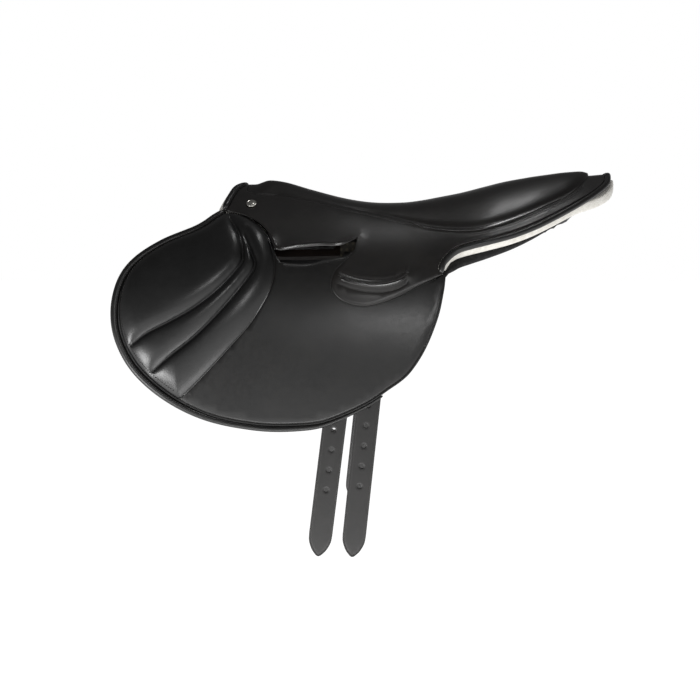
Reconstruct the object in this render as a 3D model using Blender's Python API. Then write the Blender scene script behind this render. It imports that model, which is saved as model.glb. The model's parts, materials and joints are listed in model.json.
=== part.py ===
"""Racing saddle: tree, seat, skirts, lifting flaps and swinging girth billets.

Frame: +X runs from the pommel to the cantle, the near (left) side is -Y, +Z is up.
The origin is on the centre plane, where the underside of the seat meets the back of the horse.
Sizes below are in millimetres; meshes are written in metres.

Nearly every piece of a saddle is a sheet or a pad bent over the same form, so the form is given
once, as a surface, and each piece is an outline on it with an outer and an inner depth.
A place on the form is (x, t): x along the saddle, t the way down its side from the ridge.
"""

import bisect
import math

import bmesh
import bpy
from mathutils import Matrix, Vector
from mathutils.geometry import delaunay_2d_cdt

MM = 0.001
NEAR, OFF = -1, 1

# The form: half width that the sides tend to, how fast they get there, and the squareness of the top
SIDE_WIDTH = 145.0
REAR_WIDENING = 10.0
SIDE_FALL = 75.0
SQUARENESS = 4
DEPTH_DROP = 1.1
# x, height where the two sides would cross, depth at which the top rounds over
FORM = (
    (-400, 92.3, 7.4), (-205, 92.3, 7.4), (-157, 91.3, 8.7), (-120, 91.4, 16.8), (-76, 92.8, 29.2),
    (-40, 91.9, 33.7), (0, 92.4, 34.6), (25, 94.3, 33.9), (50, 97.0, 32.2), (79, 101.2, 31.0),
    (107, 104.3, 27.7), (135, 104.9, 22.3), (165, 105.6, 19.0), (195, 105.0, 15.7), (226, 104.8, 11.8),
    (249, 103.3, 5.5), (265, 103.2, 5.2), (290, 103.0, 5.0),
)

# Seat: x, half width to the seam, rise of the padding above the form
SEAT = (
    (-201.5, 27.5, 0.4), (-190, 29.8, 1.0), (-183, 30.2, 3.8), (-175, 30.4, 6.4), (-160, 31.2, 6.4),
    (-120, 40.0, 4.0), (-76, 52.5, 3.2), (-40, 60.0, 3.0), (0, 72.0, 3.0), (40, 84.5, 3.4),
    (97, 95.0, 4.2), (147, 85.0, 6.0), (190, 66.5, 8.4), (215, 50.0, 9.0), (232, 29.0, 8.0),
    (241, 12.0, 4.0),
)
SEAT_STATIONS = (
    -201.5, -195, -189, -184, -179, -173, -166, -158, -146, -134, -122, -106, -90, -75, -58, -40, -20, 0,
    20, 40, 68, 97, 122, 147, 168, 190, 204, 215, 224, 232, 237, 241,
)
SEAT_CROWN_POWER = 2.6
COVER_THICKNESS = 2.2
FOAM_INSET = 3.0
FOAM_FRONT_INSET = 12.0
FOAM_GAP = 0.95
FOAM_WEB_GAP = 1.7

# Leather and padding
SKIRT_THICKNESS = 2.5
FLAP_THICKNESS = 3.0
BILLET_THICKNESS = 4.0
SWEAT_FLAP_THICKNESS = 2.5
WEB_THICKNESS = 2.0
RAIL_THICKNESS = 9.0
FELT_THICKNESS = 10.5
PANEL_THICKNESS = 5.0
GAP = 0.3
SEAM_GAP = 0.5
LAYER_GAP = 0.6
WEB_GAP = 0.7
BILLET_CLEARANCE = 3.2
SWEAT_FLAP_CLEARANCE = 3.8

# Depths of the layers below the form at the front, worked out from the thicknesses
FLAP_DEPTH = SKIRT_THICKNESS + GAP
BILLET_DEPTH = FLAP_DEPTH + FLAP_THICKNESS + BILLET_CLEARANCE
SWEAT_DEPTH = BILLET_DEPTH + BILLET_THICKNESS + SWEAT_FLAP_CLEARANCE
RAIL_DEPTH_FRONT = SWEAT_DEPTH + SWEAT_FLAP_THICKNESS + WEB_GAP
CANTLE_PLATE_DEPTH = 3.6
CANTLE_PLATE_THICKNESS = 4.2
RAIL_DEPTH_REAR = CANTLE_PLATE_DEPTH + CANTLE_PLATE_THICKNESS + LAYER_GAP
RAIL_RISE = (-30.0, 60.0)
RAIL_END_X = 188.0

# Binding rolls: radius, and depth of the middle of the roll below the form
POMMEL_ROLL_RADIUS = 4.6
CANTLE_ROLL_RADIUS = 3.9
SKIRT_ROLL_DEPTH = 1.2
FLAP_ROLL_RADIUS = 4.7
FLAP_ROLL_LOW_RADIUS = 3.7
FLAP_ROLL_END_RADIUS = 1.6
FLAP_ROLL_DEPTH = 3.4
ROLL_SIDES = 8

# Fold of the flap: a straight line from the kink below the pommel to the notch below the cantle
FOLD_FRONT = (-230.0, 55.5)
FOLD_REAR = (48.0, -23.0)
FOLD_GAP = 0.6
FLAP_LIFT_DEGREES = 70.0

# Outer lines, as (x, height) in a side view or (x, half width) in plan
FLAP_RIM = (
    (-234, 54.5), (-243, 49), (-262, 36.5), (-304, 19), (-337, -3), (-355, -29), (-362, -65),
    (-356, -103), (-334, -142), (-295, -176), (-246, -200), (-189, -212), (-135, -213.5), (-92, -205.5),
    (-44, -182), (-6, -153), (20, -119), (38, -77), (46, -43), (48.5, -24),
)
FLAP_ROLL_END_X = -24.0
FLAP_TOP_FRONT = ((-160, 1), (-165, 14), (-175, 27), (-190, 38), (-206, 45), (-219, 49))
SLOT_LOWER = ((-68, 3), (-76, -1), (-97, -4), (-115, -8.5), (-131, -9.5), (-155, -7.5))
SLOT_UPPER = ((-165, 18), (-156.5, 6), (-131, 9), (-104, 11), (-80, 11.5), (-58, 19.5))
SKIRT_FRONT_LOW = ((-226, 53), (-206, 49), (-190, 42), (-175, 31), (-165, 18))
SKIRT_REAR_LOW = ((48, -22), (50, -13), (57.5, -4.5), (68, 2.5))
CANTLE_RIM = (
    (84, 108.7), (107, 108.5), (135, 104.5), (165, 97), (195, 84.5), (226, 67.5), (249, 49), (265.5, 29),
    (272, 0),
)
POMMEL_RIM = ((-211, 0), (-213, 8), (-221, 20), (-227.5, 40), (-231, 52))

# Keeper: tongue of the skirt sewn over the flap, with a slit for the end of the stirrup leather
KEEPER_LOW = (
    (-62, 6), (-66, -1), (-75, -11), (-85, -21.5), (-90, -36), (-87, -47), (-77, -56), (-62, -61.5),
    (-47, -62.5), (-30, -59), (-9, -51.5), (16, -38.5), (46, -24.5),
)
SLIT_UPPER = ((-82.5, -28), (-67, -34), (-45, -38), (-26, -38), (-8, -33.5), (5, -25.5))
SLIT_HEIGHT = 6.2
KEEPER_STAND_OFF = 2.4

# Knee pad: outline, two sewn channels and the rise of the padding
PAD_REAR = (
    (-219, 49.5), (-203, 45), (-187, 36.5), (-172, 22), (-164, 1), (-161, -15), (-165, -38), (-176, -61),
    (-192, -85), (-216, -112), (-245, -143.5), (-274, -173),
)
PAD_FRONT_INSET = 1.2
PAD_CHANNELS = (
    ((-220, 43), (-204, 17), (-200, -3), (-203, -17), (-227, -44), (-256, -67), (-285, -84), (-315, -99),
     (-335, -112)),
    ((-200, 20), (-189, -3), (-185, -18), (-199, -40), (-227, -73), (-256, -102), (-285, -125),
     (-309, -144)),
)
PAD_EDGE_THICKNESS = 2.0
PAD_RISE = 9.5
PAD_SHOULDER = 11.0
CHANNEL_WIDTH = 6.5
CHANNEL_DEPTH_SHARE = 0.78

# Billets: 1 1/8 in straps with punched holes an inch apart, hung from a web at the tree
BILLET_WIDTH = 28.6
BILLET_LENGTH = 368.0
BILLET_TOP = 9.0
BILLET_TIP = 27.0
FRONT_BILLET_LEAN_DEGREES = 7.1
REAR_BILLET_LEAN_DEGREES = 6.0
FRONT_BILLET_PIVOT = (-61.8, -10.0)
REAR_BILLET_PIVOT = (-26.4, -10.0)
BILLET_STRAIGHT_BELOW = -205.0
HOLE_RADIUS = 2.75
HOLE_PITCH = 25.4
HOLE_COUNT = 5
FRONT_LOWEST_HOLE = 284.0
REAR_LOWEST_HOLE = 278.5
HOLE_SIDES = 12

# Stirrup bar: a straight steel bar standing off a plate that is riveted to the rail
BAR_CENTRE_X = -124.0
BAR_PLATE_T = 51.0
BAR_LENGTH = 78.0
BAR_HEIGHT = 15.0
BAR_THICKNESS = 4.0
BAR_STAND_OFF = 6.9
BAR_FOOT = 11.0
BAR_PLATE_LENGTH = 92.0
BAR_PLATE_HEIGHT = 14.0
BAR_PLATE_THICKNESS = 2.8
BAR_DROP = 17.0
BAR_SEAT_GAP = 0.9
BAR_TIP_RADIUS = 5.0
STEEL_STEP = 0.4
RIVET_RADIUS = 2.5
RIVET_HEAD_RADIUS = 5.0
RIVET_HEAD_HEIGHT = 1.6
RIVET_LENGTH = 9.0
RIVET_CLEARANCE = 0.25
RIVET_PITCH = 62.0
ROUND_SIDES = 16

# Tree rails, arch, cantle plate and webs
RAIL_MIDDLE = ((-196, 60), (-60, 59), (40, 53), (RAIL_END_X, 30))
RAIL_HALF_WIDTH = 15.0
STACK_SPACING = 20.0
ARCH_THICKNESS = 4.2
ARCH_FROM_RIM = (21.0, 44.0)
ARCH_REACH = 66.0
CANTLE_PLATE_FRONT = 150.0
CANTLE_PLATE_INSET = 23.0
SEAT_WEBS = (("seat_web_front", -55.0), ("seat_web_middle", 12.0), ("seat_web_rear", 82.0))
SEAT_WEB_WIDTH = 48.0
WEB_OVERLAP = 11.0
GIRTH_WEB_X = (-80.0, -8.0)
GIRTH_WEB_TOP_T = 57.0
GIRTH_WEB_BOTTOM = -28.0
WEB_STEP = (9.0, 16.0)
WEB_CLEAR_OF_SWEAT_FLAP = 1.3

# Sweat flap, felt and panels
SWEAT_RIM_INSET = 15.0
SWEAT_TOP = (
    (29, -29), (0, -16), (-30, -9), (-36, 3), (-76, 4), (-82, -7), (-170, -9), (-216, -10), (-250, -5),
    (-288, -4),
)
FELT_INSET = 10.0
FELT_PAST_CANTLE = 2.5
FELT_SIDE_T = 97.0
FELT_FRONT_LOW = ((-227, 34), (-215, 45), (-206, 60), (-192, 78), (-150, 87), (-60, 88), (0, 87), (44, 86))
FELT_PAST_RIM = 4.5
PANEL_INSET = (3.0, 12.5)
PANEL_REAR_X = (58.0, 250.0)
PANEL_FRONT_LOW = ((20, -46), (-40, -66), (-110, -74), (-170, -62), (-199, -34), (-208, -4), (-207, 16))
PANEL_GULLET = ((-204, 17), (-100, 18), (0, 22), (120, 20), (190, 15), (246, 10))
EDGE_LIFT_DEPTH = 6.1
CANTLE_LIFT = (11.0, 17.0)
POMMEL_LIFT = (7.0, 17.0)
PLATE_LIFT_SHARE = 0.64
PAST_RAIL = (10.0, 36.0)
PLATE_END = (251.0, 262.0)

# Nail in the pommel
STUD_PLACE = (-194.0, 61.0)
STUD_PROFILE = ((0.0, 3.3), (3.2, 2.9), (5.2, 1.8), (5.5, 1.3), (6.5, 1.1), (6.6, 0.4), (6.3, 0.0), (1.7, 0.0))
STUD_SHANK = 9.0
STUD_HOLE_RADIUS = 2.1

BLACK_LEATHER = ("smooth_leather", (0.012, 0.012, 0.013), 0.34, 0.0)
BROWN_BLACK_LEATHER = ("skirt_leather", (0.014, 0.012, 0.011), 0.38, 0.0)
PAD_LEATHER = ("pad_leather", (0.010, 0.010, 0.011), 0.40, 0.0)
STRAP_LEATHER = ("strap_leather", (0.017, 0.016, 0.016), 0.48, 0.0)
LINING_CLOTH = ("panel_lining", (0.020, 0.020, 0.021), 0.85, 0.0)
WHITE_FELT = ("white_felt", (0.84, 0.82, 0.78), 0.95, 0.0)
SEAT_FOAM = ("seat_foam", (0.62, 0.58, 0.46), 0.95, 0.0)
CANVAS = ("canvas_web", (0.55, 0.50, 0.40), 0.90, 0.0)
LAMINATE = ("tree_laminate", (0.42, 0.28, 0.15), 0.60, 0.0)
STEEL = ("tree_steel", (0.45, 0.45, 0.46), 0.35, 1.0)
NICKEL = ("nickel", (0.74, 0.72, 0.68), 0.22, 1.0)


def smoothstep(value, low, high):
    """0 below low, 1 above high, and a smooth rise between."""
    share = min(max((value - low) / (high - low), 0.0), 1.0)
    return share * share * (3 - 2 * share)


def along(table, x, column=1):
    """Value of a column of a table at x, on a smooth curve through its rows."""
    places = [row[0] for row in table]
    values = [row[column] for row in table]
    if places[0] > places[-1]:
        places, values = places[::-1], values[::-1]
    x = min(max(x, places[0]), places[-1])
    i = min(max(bisect.bisect_right(places, x) - 1, 0), len(places) - 2)

    def slope(k):
        low, high = max(k - 1, 0), min(k + 1, len(places) - 1)
        return (values[high] - values[low]) / (places[high] - places[low])

    span = places[i + 1] - places[i]
    u = (x - places[i]) / span
    return (
        values[i] * (1 + 2 * u) * (1 - u) ** 2
        + values[i + 1] * u * u * (3 - 2 * u)
        + span * (slope(i) * u * (1 - u) ** 2 + slope(i + 1) * u * u * (u - 1))
    )


def side_width(x):
    """Half width that the sides of the form tend to, at x."""
    return SIDE_WIDTH + REAR_WIDENING * smoothstep(x, 20, 120)


def form_point(x, t, depth=0.0):
    """Point of the form on the near side; a negative t is on the off side. A deeper layer is narrower and lower."""
    width = (side_width(x) - depth) * (1 - math.exp(-abs(t) / SIDE_FALL))
    fall = (abs(t) ** SQUARENESS + along(FORM, x, 2) ** SQUARENESS) ** (1 / SQUARENESS)
    return Vector((x, -math.copysign(width, t), along(FORM, x) - fall - DEPTH_DROP * depth))


def at_width(x, half_width, depth=0.0):
    """(x, t) of the place that lies half_width from the centre plane."""
    return x, -SIDE_FALL * math.log(1 - half_width / (side_width(x) - depth))


def at_height(x, height, depth=0.0):
    """(x, t) of the place at this height in a side view."""
    fall = along(FORM, x) - DEPTH_DROP * depth - height
    return x, max(fall**SQUARENESS - along(FORM, x, 2) ** SQUARENESS, 0.0) ** (1 / SQUARENESS)


def form_axes(x, t, depth=0.0):
    """Point, way along, way down the side and outward normal of the form at (x, t)."""
    point, small = form_point(x, t, depth), 0.05
    forward = (form_point(x + small, t, depth) - point).normalized()
    down = (form_point(x, t + small, depth) - point).normalized()
    normal = forward.cross(down).normalized()
    return point, forward, down, normal if normal.z > 0 or normal.y < 0 else -normal


def smooth_line(points, step):
    """Points about step apart along a smooth curve through the given ones."""
    points = [Vector(p) for p in points]
    line = [points[0]]
    for i in range(len(points) - 1):
        a, b = points[i], points[i + 1]
        before = points[i - 1] if i else a * 2 - b
        after = points[i + 2] if i + 2 < len(points) else b * 2 - a
        count = max(1, round((b - a).length / step))
        for k in range(1, count + 1):
            u = k / count
            line.append(
                0.5 * (2 * a + (b - before) * u + (2 * before - 5 * a + 4 * b - after) * u * u
                       + (3 * a - before - 3 * b + after) * u * u * u)
            )
    return line


def joined(*lines):
    """One closed outline from lines that follow each other, with doubled corners left out."""
    outline = []
    for line in lines:
        for point in line:
            point = Vector(point)
            if not outline or (point - outline[-1]).length > 0.6:
                outline.append(point)
    if (outline[0] - outline[-1]).length <= 0.6:
        outline.pop()
    return outline


def aside(line, distances, depth=0.0):
    """The line moved sideways on the form by real distances, to the right of its direction."""
    moved = []
    for i, place in enumerate(line):
        x, t = place
        way = line[min(i + 1, len(line) - 1)] - line[max(i - 1, 0)]
        point, small = form_point(x, t, depth), 0.05
        along_x = (form_point(x + small, t, depth) - point) / small
        along_t = (form_point(x, t + small, depth) - point) / small
        e, f, g = along_x.dot(along_x), along_x.dot(along_t), along_t.dot(along_t)
        turn = Vector((f * way.x + g * way.y, -(e * way.x + f * way.y)))
        size = math.sqrt(e * turn.x**2 + 2 * f * turn.x * turn.y + g * turn.y**2)
        distance = distances[i] if isinstance(distances, (list, tuple)) else distances
        moved.append(place + turn * (distance / size))
    return moved


def inside(place, outline):
    """Whether a place lies inside a closed outline."""
    found, j = False, len(outline) - 1
    for i, a in enumerate(outline):
        b = outline[j]
        if (a.y > place.y) != (b.y > place.y):
            if place.x < (b.x - a.x) * (place.y - a.y) / (b.y - a.y) + a.x:
                found = not found
        j = i
    return found


def distance_to(place, line, closed=False):
    """Distance from a place to a line of points."""
    ends = line[1:] + line[:1] if closed else line[1:]
    nearest = 1e9
    for a, b in zip(line, ends):
        way = b - a
        share = min(max((place - a).dot(way) / max(way.length_squared, 1e-9), 0.0), 1.0)
        nearest = min(nearest, (place - a - way * share).length)
    return nearest


def finish_for(name, finish):
    """Material of one piece."""
    kind, colour, roughness, metallic = finish
    material = bpy.data.materials.new(f"{name}_{kind}")
    material.use_nodes = True
    shader = material.node_tree.nodes["Principled BSDF"]
    shader.inputs["Base Color"].default_value = (*colour, 1.0)
    shader.inputs["Roughness"].default_value = roughness
    shader.inputs["Metallic"].default_value = metallic
    return material


def piece(name, bm, finish, pivot=None, parent=None):
    """Object from a bmesh in millimetres, with its origin at the pivot, or parented to an empty."""
    bmesh.ops.recalc_face_normals(bm, faces=bm.faces)
    origin = Vector(pivot) if pivot else Vector()
    bmesh.ops.transform(bm, matrix=Matrix.Scale(MM, 4) @ Matrix.Translation(-origin), verts=bm.verts)
    mesh = bpy.data.meshes.new(name)
    bm.to_mesh(mesh)
    bm.free()
    mesh.shade_smooth()
    mesh.set_sharp_from_angle(angle=math.radians(35))
    obj = bpy.data.objects.new(name, mesh)
    obj.location = origin * MM
    bpy.context.scene.collection.objects.link(obj)
    mesh.materials.append(finish_for(name, finish))
    if parent:
        obj.parent = parent
        obj.matrix_parent_inverse = Matrix.Translation(parent.location).inverted()
    return obj


def filled(outline, spacing, holes=(), lines=()):
    """Triangles over an outline, with inner points on a grid, and with edges along the given lines."""
    places, edges = [], []

    def add_loop(loop, closed):
        first = len(places)
        places.extend(loop)
        count = len(loop)
        edges.extend((first + i, first + (i + 1) % count) for i in range(count if closed else count - 1))

    add_loop(outline, True)
    for loop in holes:
        add_loop(loop, True)
    for line in lines:
        add_loop(line, False)
    rims = [(outline, True)] + [(h, True) for h in holes] + [(line, False) for line in lines]
    low_x, high_x = min(p.x for p in outline), max(p.x for p in outline)
    low_t, high_t = min(p.y for p in outline), max(p.y for p in outline)
    for i in range(math.floor(low_x / spacing), math.ceil(high_x / spacing) + 1):
        for j in range(math.floor(low_t / spacing), math.ceil(high_t / spacing) + 1):
            place = Vector(((i + 0.5 * (j % 2)) * spacing, j * spacing))
            if not inside(place, outline) or any(inside(place, h) for h in holes):
                continue
            if min(distance_to(place, rim, closed) for rim, closed in rims) > 0.45 * spacing:
                places.append(place)
    points, _, faces, *_ = delaunay_2d_cdt(places, edges, [], 0, 1e-4)
    kept = []
    for face in faces:
        middle = sum((points[k] for k in face), Vector((0, 0))) / 3
        if inside(middle, outline) and not any(inside(middle, h) for h in holes):
            kept.append(face)
    return points, kept


def solid_between(points, faces, outer, inner):
    """Closed body between two skins that share one net of triangles."""
    bm = bmesh.new()
    tops = [bm.verts.new(outer(p)) for p in points]
    bottoms = [bm.verts.new(inner(p)) for p in points]
    rim = {}
    for a, b, c in faces:
        bm.faces.new((tops[a], tops[b], tops[c]))
        bm.faces.new((bottoms[c], bottoms[b], bottoms[a]))
        for edge in ((a, b), (b, c), (c, a)):
            if edge[::-1] in rim:
                del rim[edge[::-1]]
            else:
                rim[edge] = True
    for a, b in rim:
        bm.faces.new((tops[b], tops[a], bottoms[a], bottoms[b]))
    loose = [v for v in bm.verts if not v.link_faces]
    bmesh.ops.delete(bm, geom=loose, context="VERTS")
    bmesh.ops.triangulate(bm, faces=[f for f in bm.faces if len(f.verts) > 3])
    return bm


def mirrored(point, side):
    """The point as on the near side, or moved across to the off side."""
    return Vector((point.x, point.y if side == NEAR else -point.y, point.z))


def square_to(x, t, outer, inner, share):
    """Point of the inner layer moved to straight below the outer one, so that a cut edge stands square."""
    down = (form_point(x, t + 0.05, inner) - form_point(x, t, inner)) / 0.05
    slip = (form_point(x, t, inner) - form_point(x, t, outer)).dot(down) / down.length_squared
    return form_point(x, t - slip * share, inner)


def sheet(
    name, outline, outer, inner, spacing, finish, side=NEAR, holes=(), lines=(), parent=None, square=0.0
):
    """Piece on the form: an outline in (x, t), with its outer and inner depth as numbers or functions."""
    points, faces = filled(outline, spacing, holes, lines)

    def value(depth, p):
        return depth(p) if callable(depth) else depth

    def outer_skin(p):
        return mirrored(form_point(p.x, p.y, value(outer, p)), side)

    def inner_skin(p):
        return mirrored(square_to(p.x, p.y, value(outer, p), value(inner, p), value(square, p)), side)

    return piece(name, solid_between(points, faces, outer_skin, inner_skin), finish, parent=parent)


def roll(name, centres, radii, finish, parent=None):
    """Round binding along a line of points, closed at its ends."""
    bm = bmesh.new()
    rings = []
    for i, centre in enumerate(centres):
        way = (centres[min(i + 1, len(centres) - 1)] - centres[max(i - 1, 0)]).normalized()
        across = way.cross(Vector((0, 1, 0.35)).normalized()).normalized()
        other = way.cross(across)
        rings.append([
            bm.verts.new(centre + (across * math.cos(turn) + other * math.sin(turn)) * radii[i])
            for turn in (2 * math.pi * k / ROLL_SIDES for k in range(ROLL_SIDES))
        ])
    for a, b in zip(rings, rings[1:]):
        for k in range(ROLL_SIDES):
            m = (k + 1) % ROLL_SIDES
            bm.faces.new((a[k], a[m], b[m], b[k]))
    bm.faces.new(rings[0][::-1])
    bm.faces.new(rings[-1])
    bmesh.ops.triangulate(bm, faces=bm.faces)
    return piece(name, bm, finish, parent=parent)


def prism(points, low, high, upright=False):
    """Closed prism over an outline in (x, y), or in (x, z) when upright."""
    bm = bmesh.new()
    rings = [
        [bm.verts.new((x, level, y) if upright else (x, y, level)) for x, y in points]
        for level in (low, high)
    ]
    bm.faces.new(rings[0][::-1])
    bm.faces.new(rings[1])
    for k in range(len(points)):
        m = (k + 1) % len(points)
        bm.faces.new((rings[0][k], rings[0][m], rings[1][m], rings[1][k]))
    return bm


def turned(profile):
    """Closed body turned about Z from (radius, height) points that start on the axis."""
    bm = bmesh.new()
    rings = []
    for radius, height in profile:
        if radius == 0:
            rings.append([bm.verts.new((0, 0, height))])
            continue
        rings.append([
            bm.verts.new((radius * math.cos(turn), radius * math.sin(turn), height))
            for turn in (2 * math.pi * k / ROUND_SIDES for k in range(ROUND_SIDES))
        ])
    for a, b in zip(rings, rings[1:]):
        for k in range(ROUND_SIDES):
            m = (k + 1) % ROUND_SIDES
            corners = [a[k % len(a)], a[m % len(a)], b[m % len(b)], b[k % len(b)]]
            bm.faces.new(list(dict.fromkeys(corners)))
    return bm


def local_frame(point, forward, normal, side):
    """Matrix that puts local X along the saddle and local Z outward, mirrored for the off side."""
    across = normal.cross(forward).normalized()
    matrix = Matrix((
        (forward.x, across.x, normal.x, point.x),
        (forward.y, across.y, normal.y, point.y),
        (forward.z, across.z, normal.z, point.z),
        (0, 0, 0, 1),
    ))
    return matrix if side == NEAR else Matrix.Diagonal((1, -1, 1, 1)) @ matrix


def drilled(obj, name, matrix, radius, length):
    """Cuts a round hole about local Z of the matrix through the object."""
    bm = bmesh.new()
    bmesh.ops.create_cone(
        bm, cap_ends=True, segments=ROUND_SIDES, radius1=radius, radius2=radius, depth=length, matrix=matrix
    )
    cutter = piece(name, bm, STEEL)
    cutter.hide_render = True
    cutter.display_type = "WIRE"
    cut = obj.modifiers.new(name, "BOOLEAN")
    cut.operation = "DIFFERENCE"
    cut.object = cutter


def rail_depth(x):
    """Depth of the outer face of the rails: deep where the stirrup bar stands off it, shallow under the seat."""
    return RAIL_DEPTH_FRONT + (RAIL_DEPTH_REAR - RAIL_DEPTH_FRONT) * smoothstep(x, *RAIL_RISE)


def rim_half_width(x):
    """Half width in plan of the outer line of the cantle binding."""
    if x >= CANTLE_RIM[-1][0]:
        return 0.0
    if x > CANTLE_RIM[-2][0]:
        share = (x - CANTLE_RIM[-2][0]) / (CANTLE_RIM[-1][0] - CANTLE_RIM[-2][0])
        return CANTLE_RIM[-2][1] * math.sqrt(1 - share)
    return along(CANTLE_RIM, x)


def rim_x(t):
    """x of the outer line of the pommel binding at this way down the side."""
    return along(tuple((at_width(x, w)[1], x) for x, w in POMMEL_RIM), abs(t))


def stack_depth(place):
    """Depth of the outer face of the felt: under the rails, and up to the bindings at the cantle and pommel."""
    x, t = place
    width = abs(form_point(x, t).y)
    under_rail = rail_depth(min(x, RAIL_END_X)) + RAIL_THICKNESS + LAYER_GAP
    edge = rim_half_width(x)
    at_cantle = smoothstep(x, 42, 58) * smoothstep(width, edge - CANTLE_LIFT[1], edge - CANTLE_LIFT[0])
    past_rails = smoothstep(x, RAIL_END_X + PAST_RAIL[0], RAIL_END_X + PAST_RAIL[1]) * PLATE_LIFT_SHARE
    lift = max(at_cantle, past_rails, smoothstep(x, *PLATE_END))
    at_pommel = 1 - smoothstep(x, rim_x(t) + POMMEL_LIFT[0], rim_x(t) + POMMEL_LIFT[1])
    lift = max(lift, at_pommel)
    return under_rail + (EDGE_LIFT_DEPTH - under_rail) * lift


def seat_height(x, share, drop):
    """Point of the seat skin at a share of its half width, deeper by drop."""
    half = along(SEAT, x)
    width = half * share
    t = math.copysign(at_width(x, abs(width))[1], share)
    point = form_point(x, t, drop)
    crown = along(SEAT, x, 2) * (1 - abs(share) ** SEAT_CROWN_POWER)
    return Vector((x, point.y, point.z + crown))


def seat_loft(name, stations, outer, inner, inset, front_inset, finish):
    """Closed loft over stations of the seat, between two skins."""
    first, last = SEAT[0][0] + front_inset, SEAT[-1][0] - inset
    stations = [x for x in stations if first < x < last]
    stations = [first] + stations + [last]
    shares = [-math.cos(math.pi * k / 12) for k in range(13)]
    bm = bmesh.new()
    tops, bottoms = [], []
    for x in stations:
        keep = 1 - inset / max(along(SEAT, x), inset * 2)
        tops.append([bm.verts.new(outer(x, s * keep)) for s in shares])
        bottoms.append([bm.verts.new(inner(x, s * keep)) for s in shares])
    for rows, turn in ((tops, 1), (bottoms, -1)):
        for a, b in zip(rows, rows[1:]):
            for k in range(len(shares) - 1):
                bm.faces.new((a[k], b[k], b[k + 1], a[k + 1])[::turn])
    for k in range(len(stations) - 1):
        bm.faces.new((tops[k][0], bottoms[k][0], bottoms[k + 1][0], tops[k + 1][0]))
        bm.faces.new((tops[k][-1], tops[k + 1][-1], bottoms[k + 1][-1], bottoms[k][-1]))
    for k in range(len(shares) - 1):
        bm.faces.new((tops[0][k], tops[0][k + 1], bottoms[0][k + 1], bottoms[0][k]))
        bm.faces.new((tops[-1][k], bottoms[-1][k], bottoms[-1][k + 1], tops[-1][k + 1]))
    bmesh.ops.triangulate(bm, faces=bm.faces)
    return piece(name, bm, finish)


def build_seat():
    """Leather cover stretched over a foam seat that lies on the webs and the cantle plate."""
    def foam_depth(x):
        on_arch = (ARCH_THICKNESS - WEB_THICKNESS) * (1 - smoothstep(x, -155, -135))
        over_web = rail_depth(x) - WEB_GAP - WEB_THICKNESS - on_arch - FOAM_WEB_GAP
        over_plate = CANTLE_PLATE_DEPTH - FOAM_GAP
        return over_web + (over_plate - over_web) * smoothstep(x, 108, 140)

    def cover_top(x, share):
        return seat_height(x, share, 0.0)

    def cover_bottom(x, share):
        return seat_height(x, share, COVER_THICKNESS)

    def foam_top(x, share):
        return seat_height(x, share, COVER_THICKNESS + FOAM_GAP)

    def foam_bottom(x, share):
        width = along(SEAT, x) * abs(share)
        t = math.copysign(at_width(x, width)[1], share)
        return Vector((x, form_point(x, t).y, form_point(x, t).z - DEPTH_DROP * foam_depth(x)))

    seat_loft("seat_cover", SEAT_STATIONS, cover_top, cover_bottom, 0.0, 0.0, BROWN_BLACK_LEATHER)
    seat_loft("seat_foam", SEAT_STATIONS[::2], foam_top, foam_bottom, FOAM_INSET, FOAM_FRONT_INSET, SEAT_FOAM)


def seam_line():
    """Seam between seat and skirt, from the pommel round to the back of the seat, in (x, t)."""
    rows = [Vector(at_width(x, along(SEAT, x) + SEAM_GAP)) for x in SEAT_STATIONS]
    end = SEAT[-1][0] + SEAM_GAP
    return rows[:-1] + [Vector((end, rows[-1].y)), Vector((end, GAP))]


def pommel_line(step):
    """Outer line of the pommel binding on the near side, from the ridge down to the fold."""
    return smooth_line([at_width(x, w) for x, w in POMMEL_RIM], step)


def cantle_line(step):
    """Outer line of the cantle binding on the near side, from the notch round to the ridge."""
    rows = [at_height(x, z) for x, z in SKIRT_REAR_LOW] + [at_width(x, w) for x, w in CANTLE_RIM]
    return smooth_line(rows, step)


def fold_height(x):
    """Height of the fold line of the flap at x, in a side view."""
    (x0, z0), (x1, z1) = FOLD_FRONT, FOLD_REAR
    return z0 + (z1 - z0) * (x - x0) / (x1 - x0)


def build_skirt(side, word):
    """Skirt from the seat seam down to the stirrup slot and the fold, and back to the cantle."""
    front = aside(pommel_line(9), 2 * POMMEL_ROLL_RADIUS + SEAM_GAP)
    front = [p for p in front if p.y > at_width(p.x, SEAT[0][1] + SEAM_GAP)[1] and p.x < SEAT[0][0]]
    low_front = smooth_line([at_height(x, z) for x, z in SKIRT_FRONT_LOW], 9)
    slot = smooth_line([at_height(x, z) for x, z in SLOT_UPPER], 9)
    end = FOLD_REAR[0] - 2 * CANTLE_ROLL_RADIUS - 2
    fold = [at_height(x, fold_height(x) + FOLD_GAP) for x in (-61.5, -40, -18, 4, 22, end)]
    rear = aside(cantle_line(11), 2 * CANTLE_ROLL_RADIUS + SEAM_GAP)
    rear = [p for p in rear if p.y > GAP and p.x > FOLD_REAR[0] - 8]
    centre = [Vector((rear[-1].x + 1.0, GAP))]
    outline = joined(front, low_front, slot, fold, rear, centre, seam_line()[::-1])
    stud = Vector(at_height(*STUD_PLACE))
    obj = sheet(f"{word}_skirt", outline, 0.0, SKIRT_THICKNESS, 17, BROWN_BLACK_LEATHER, side)
    point, forward, _, normal = form_axes(*stud)
    drilled(obj, f"{word}_stud_cutter", local_frame(point, forward, normal, side), STUD_HOLE_RADIUS, 16)


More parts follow.
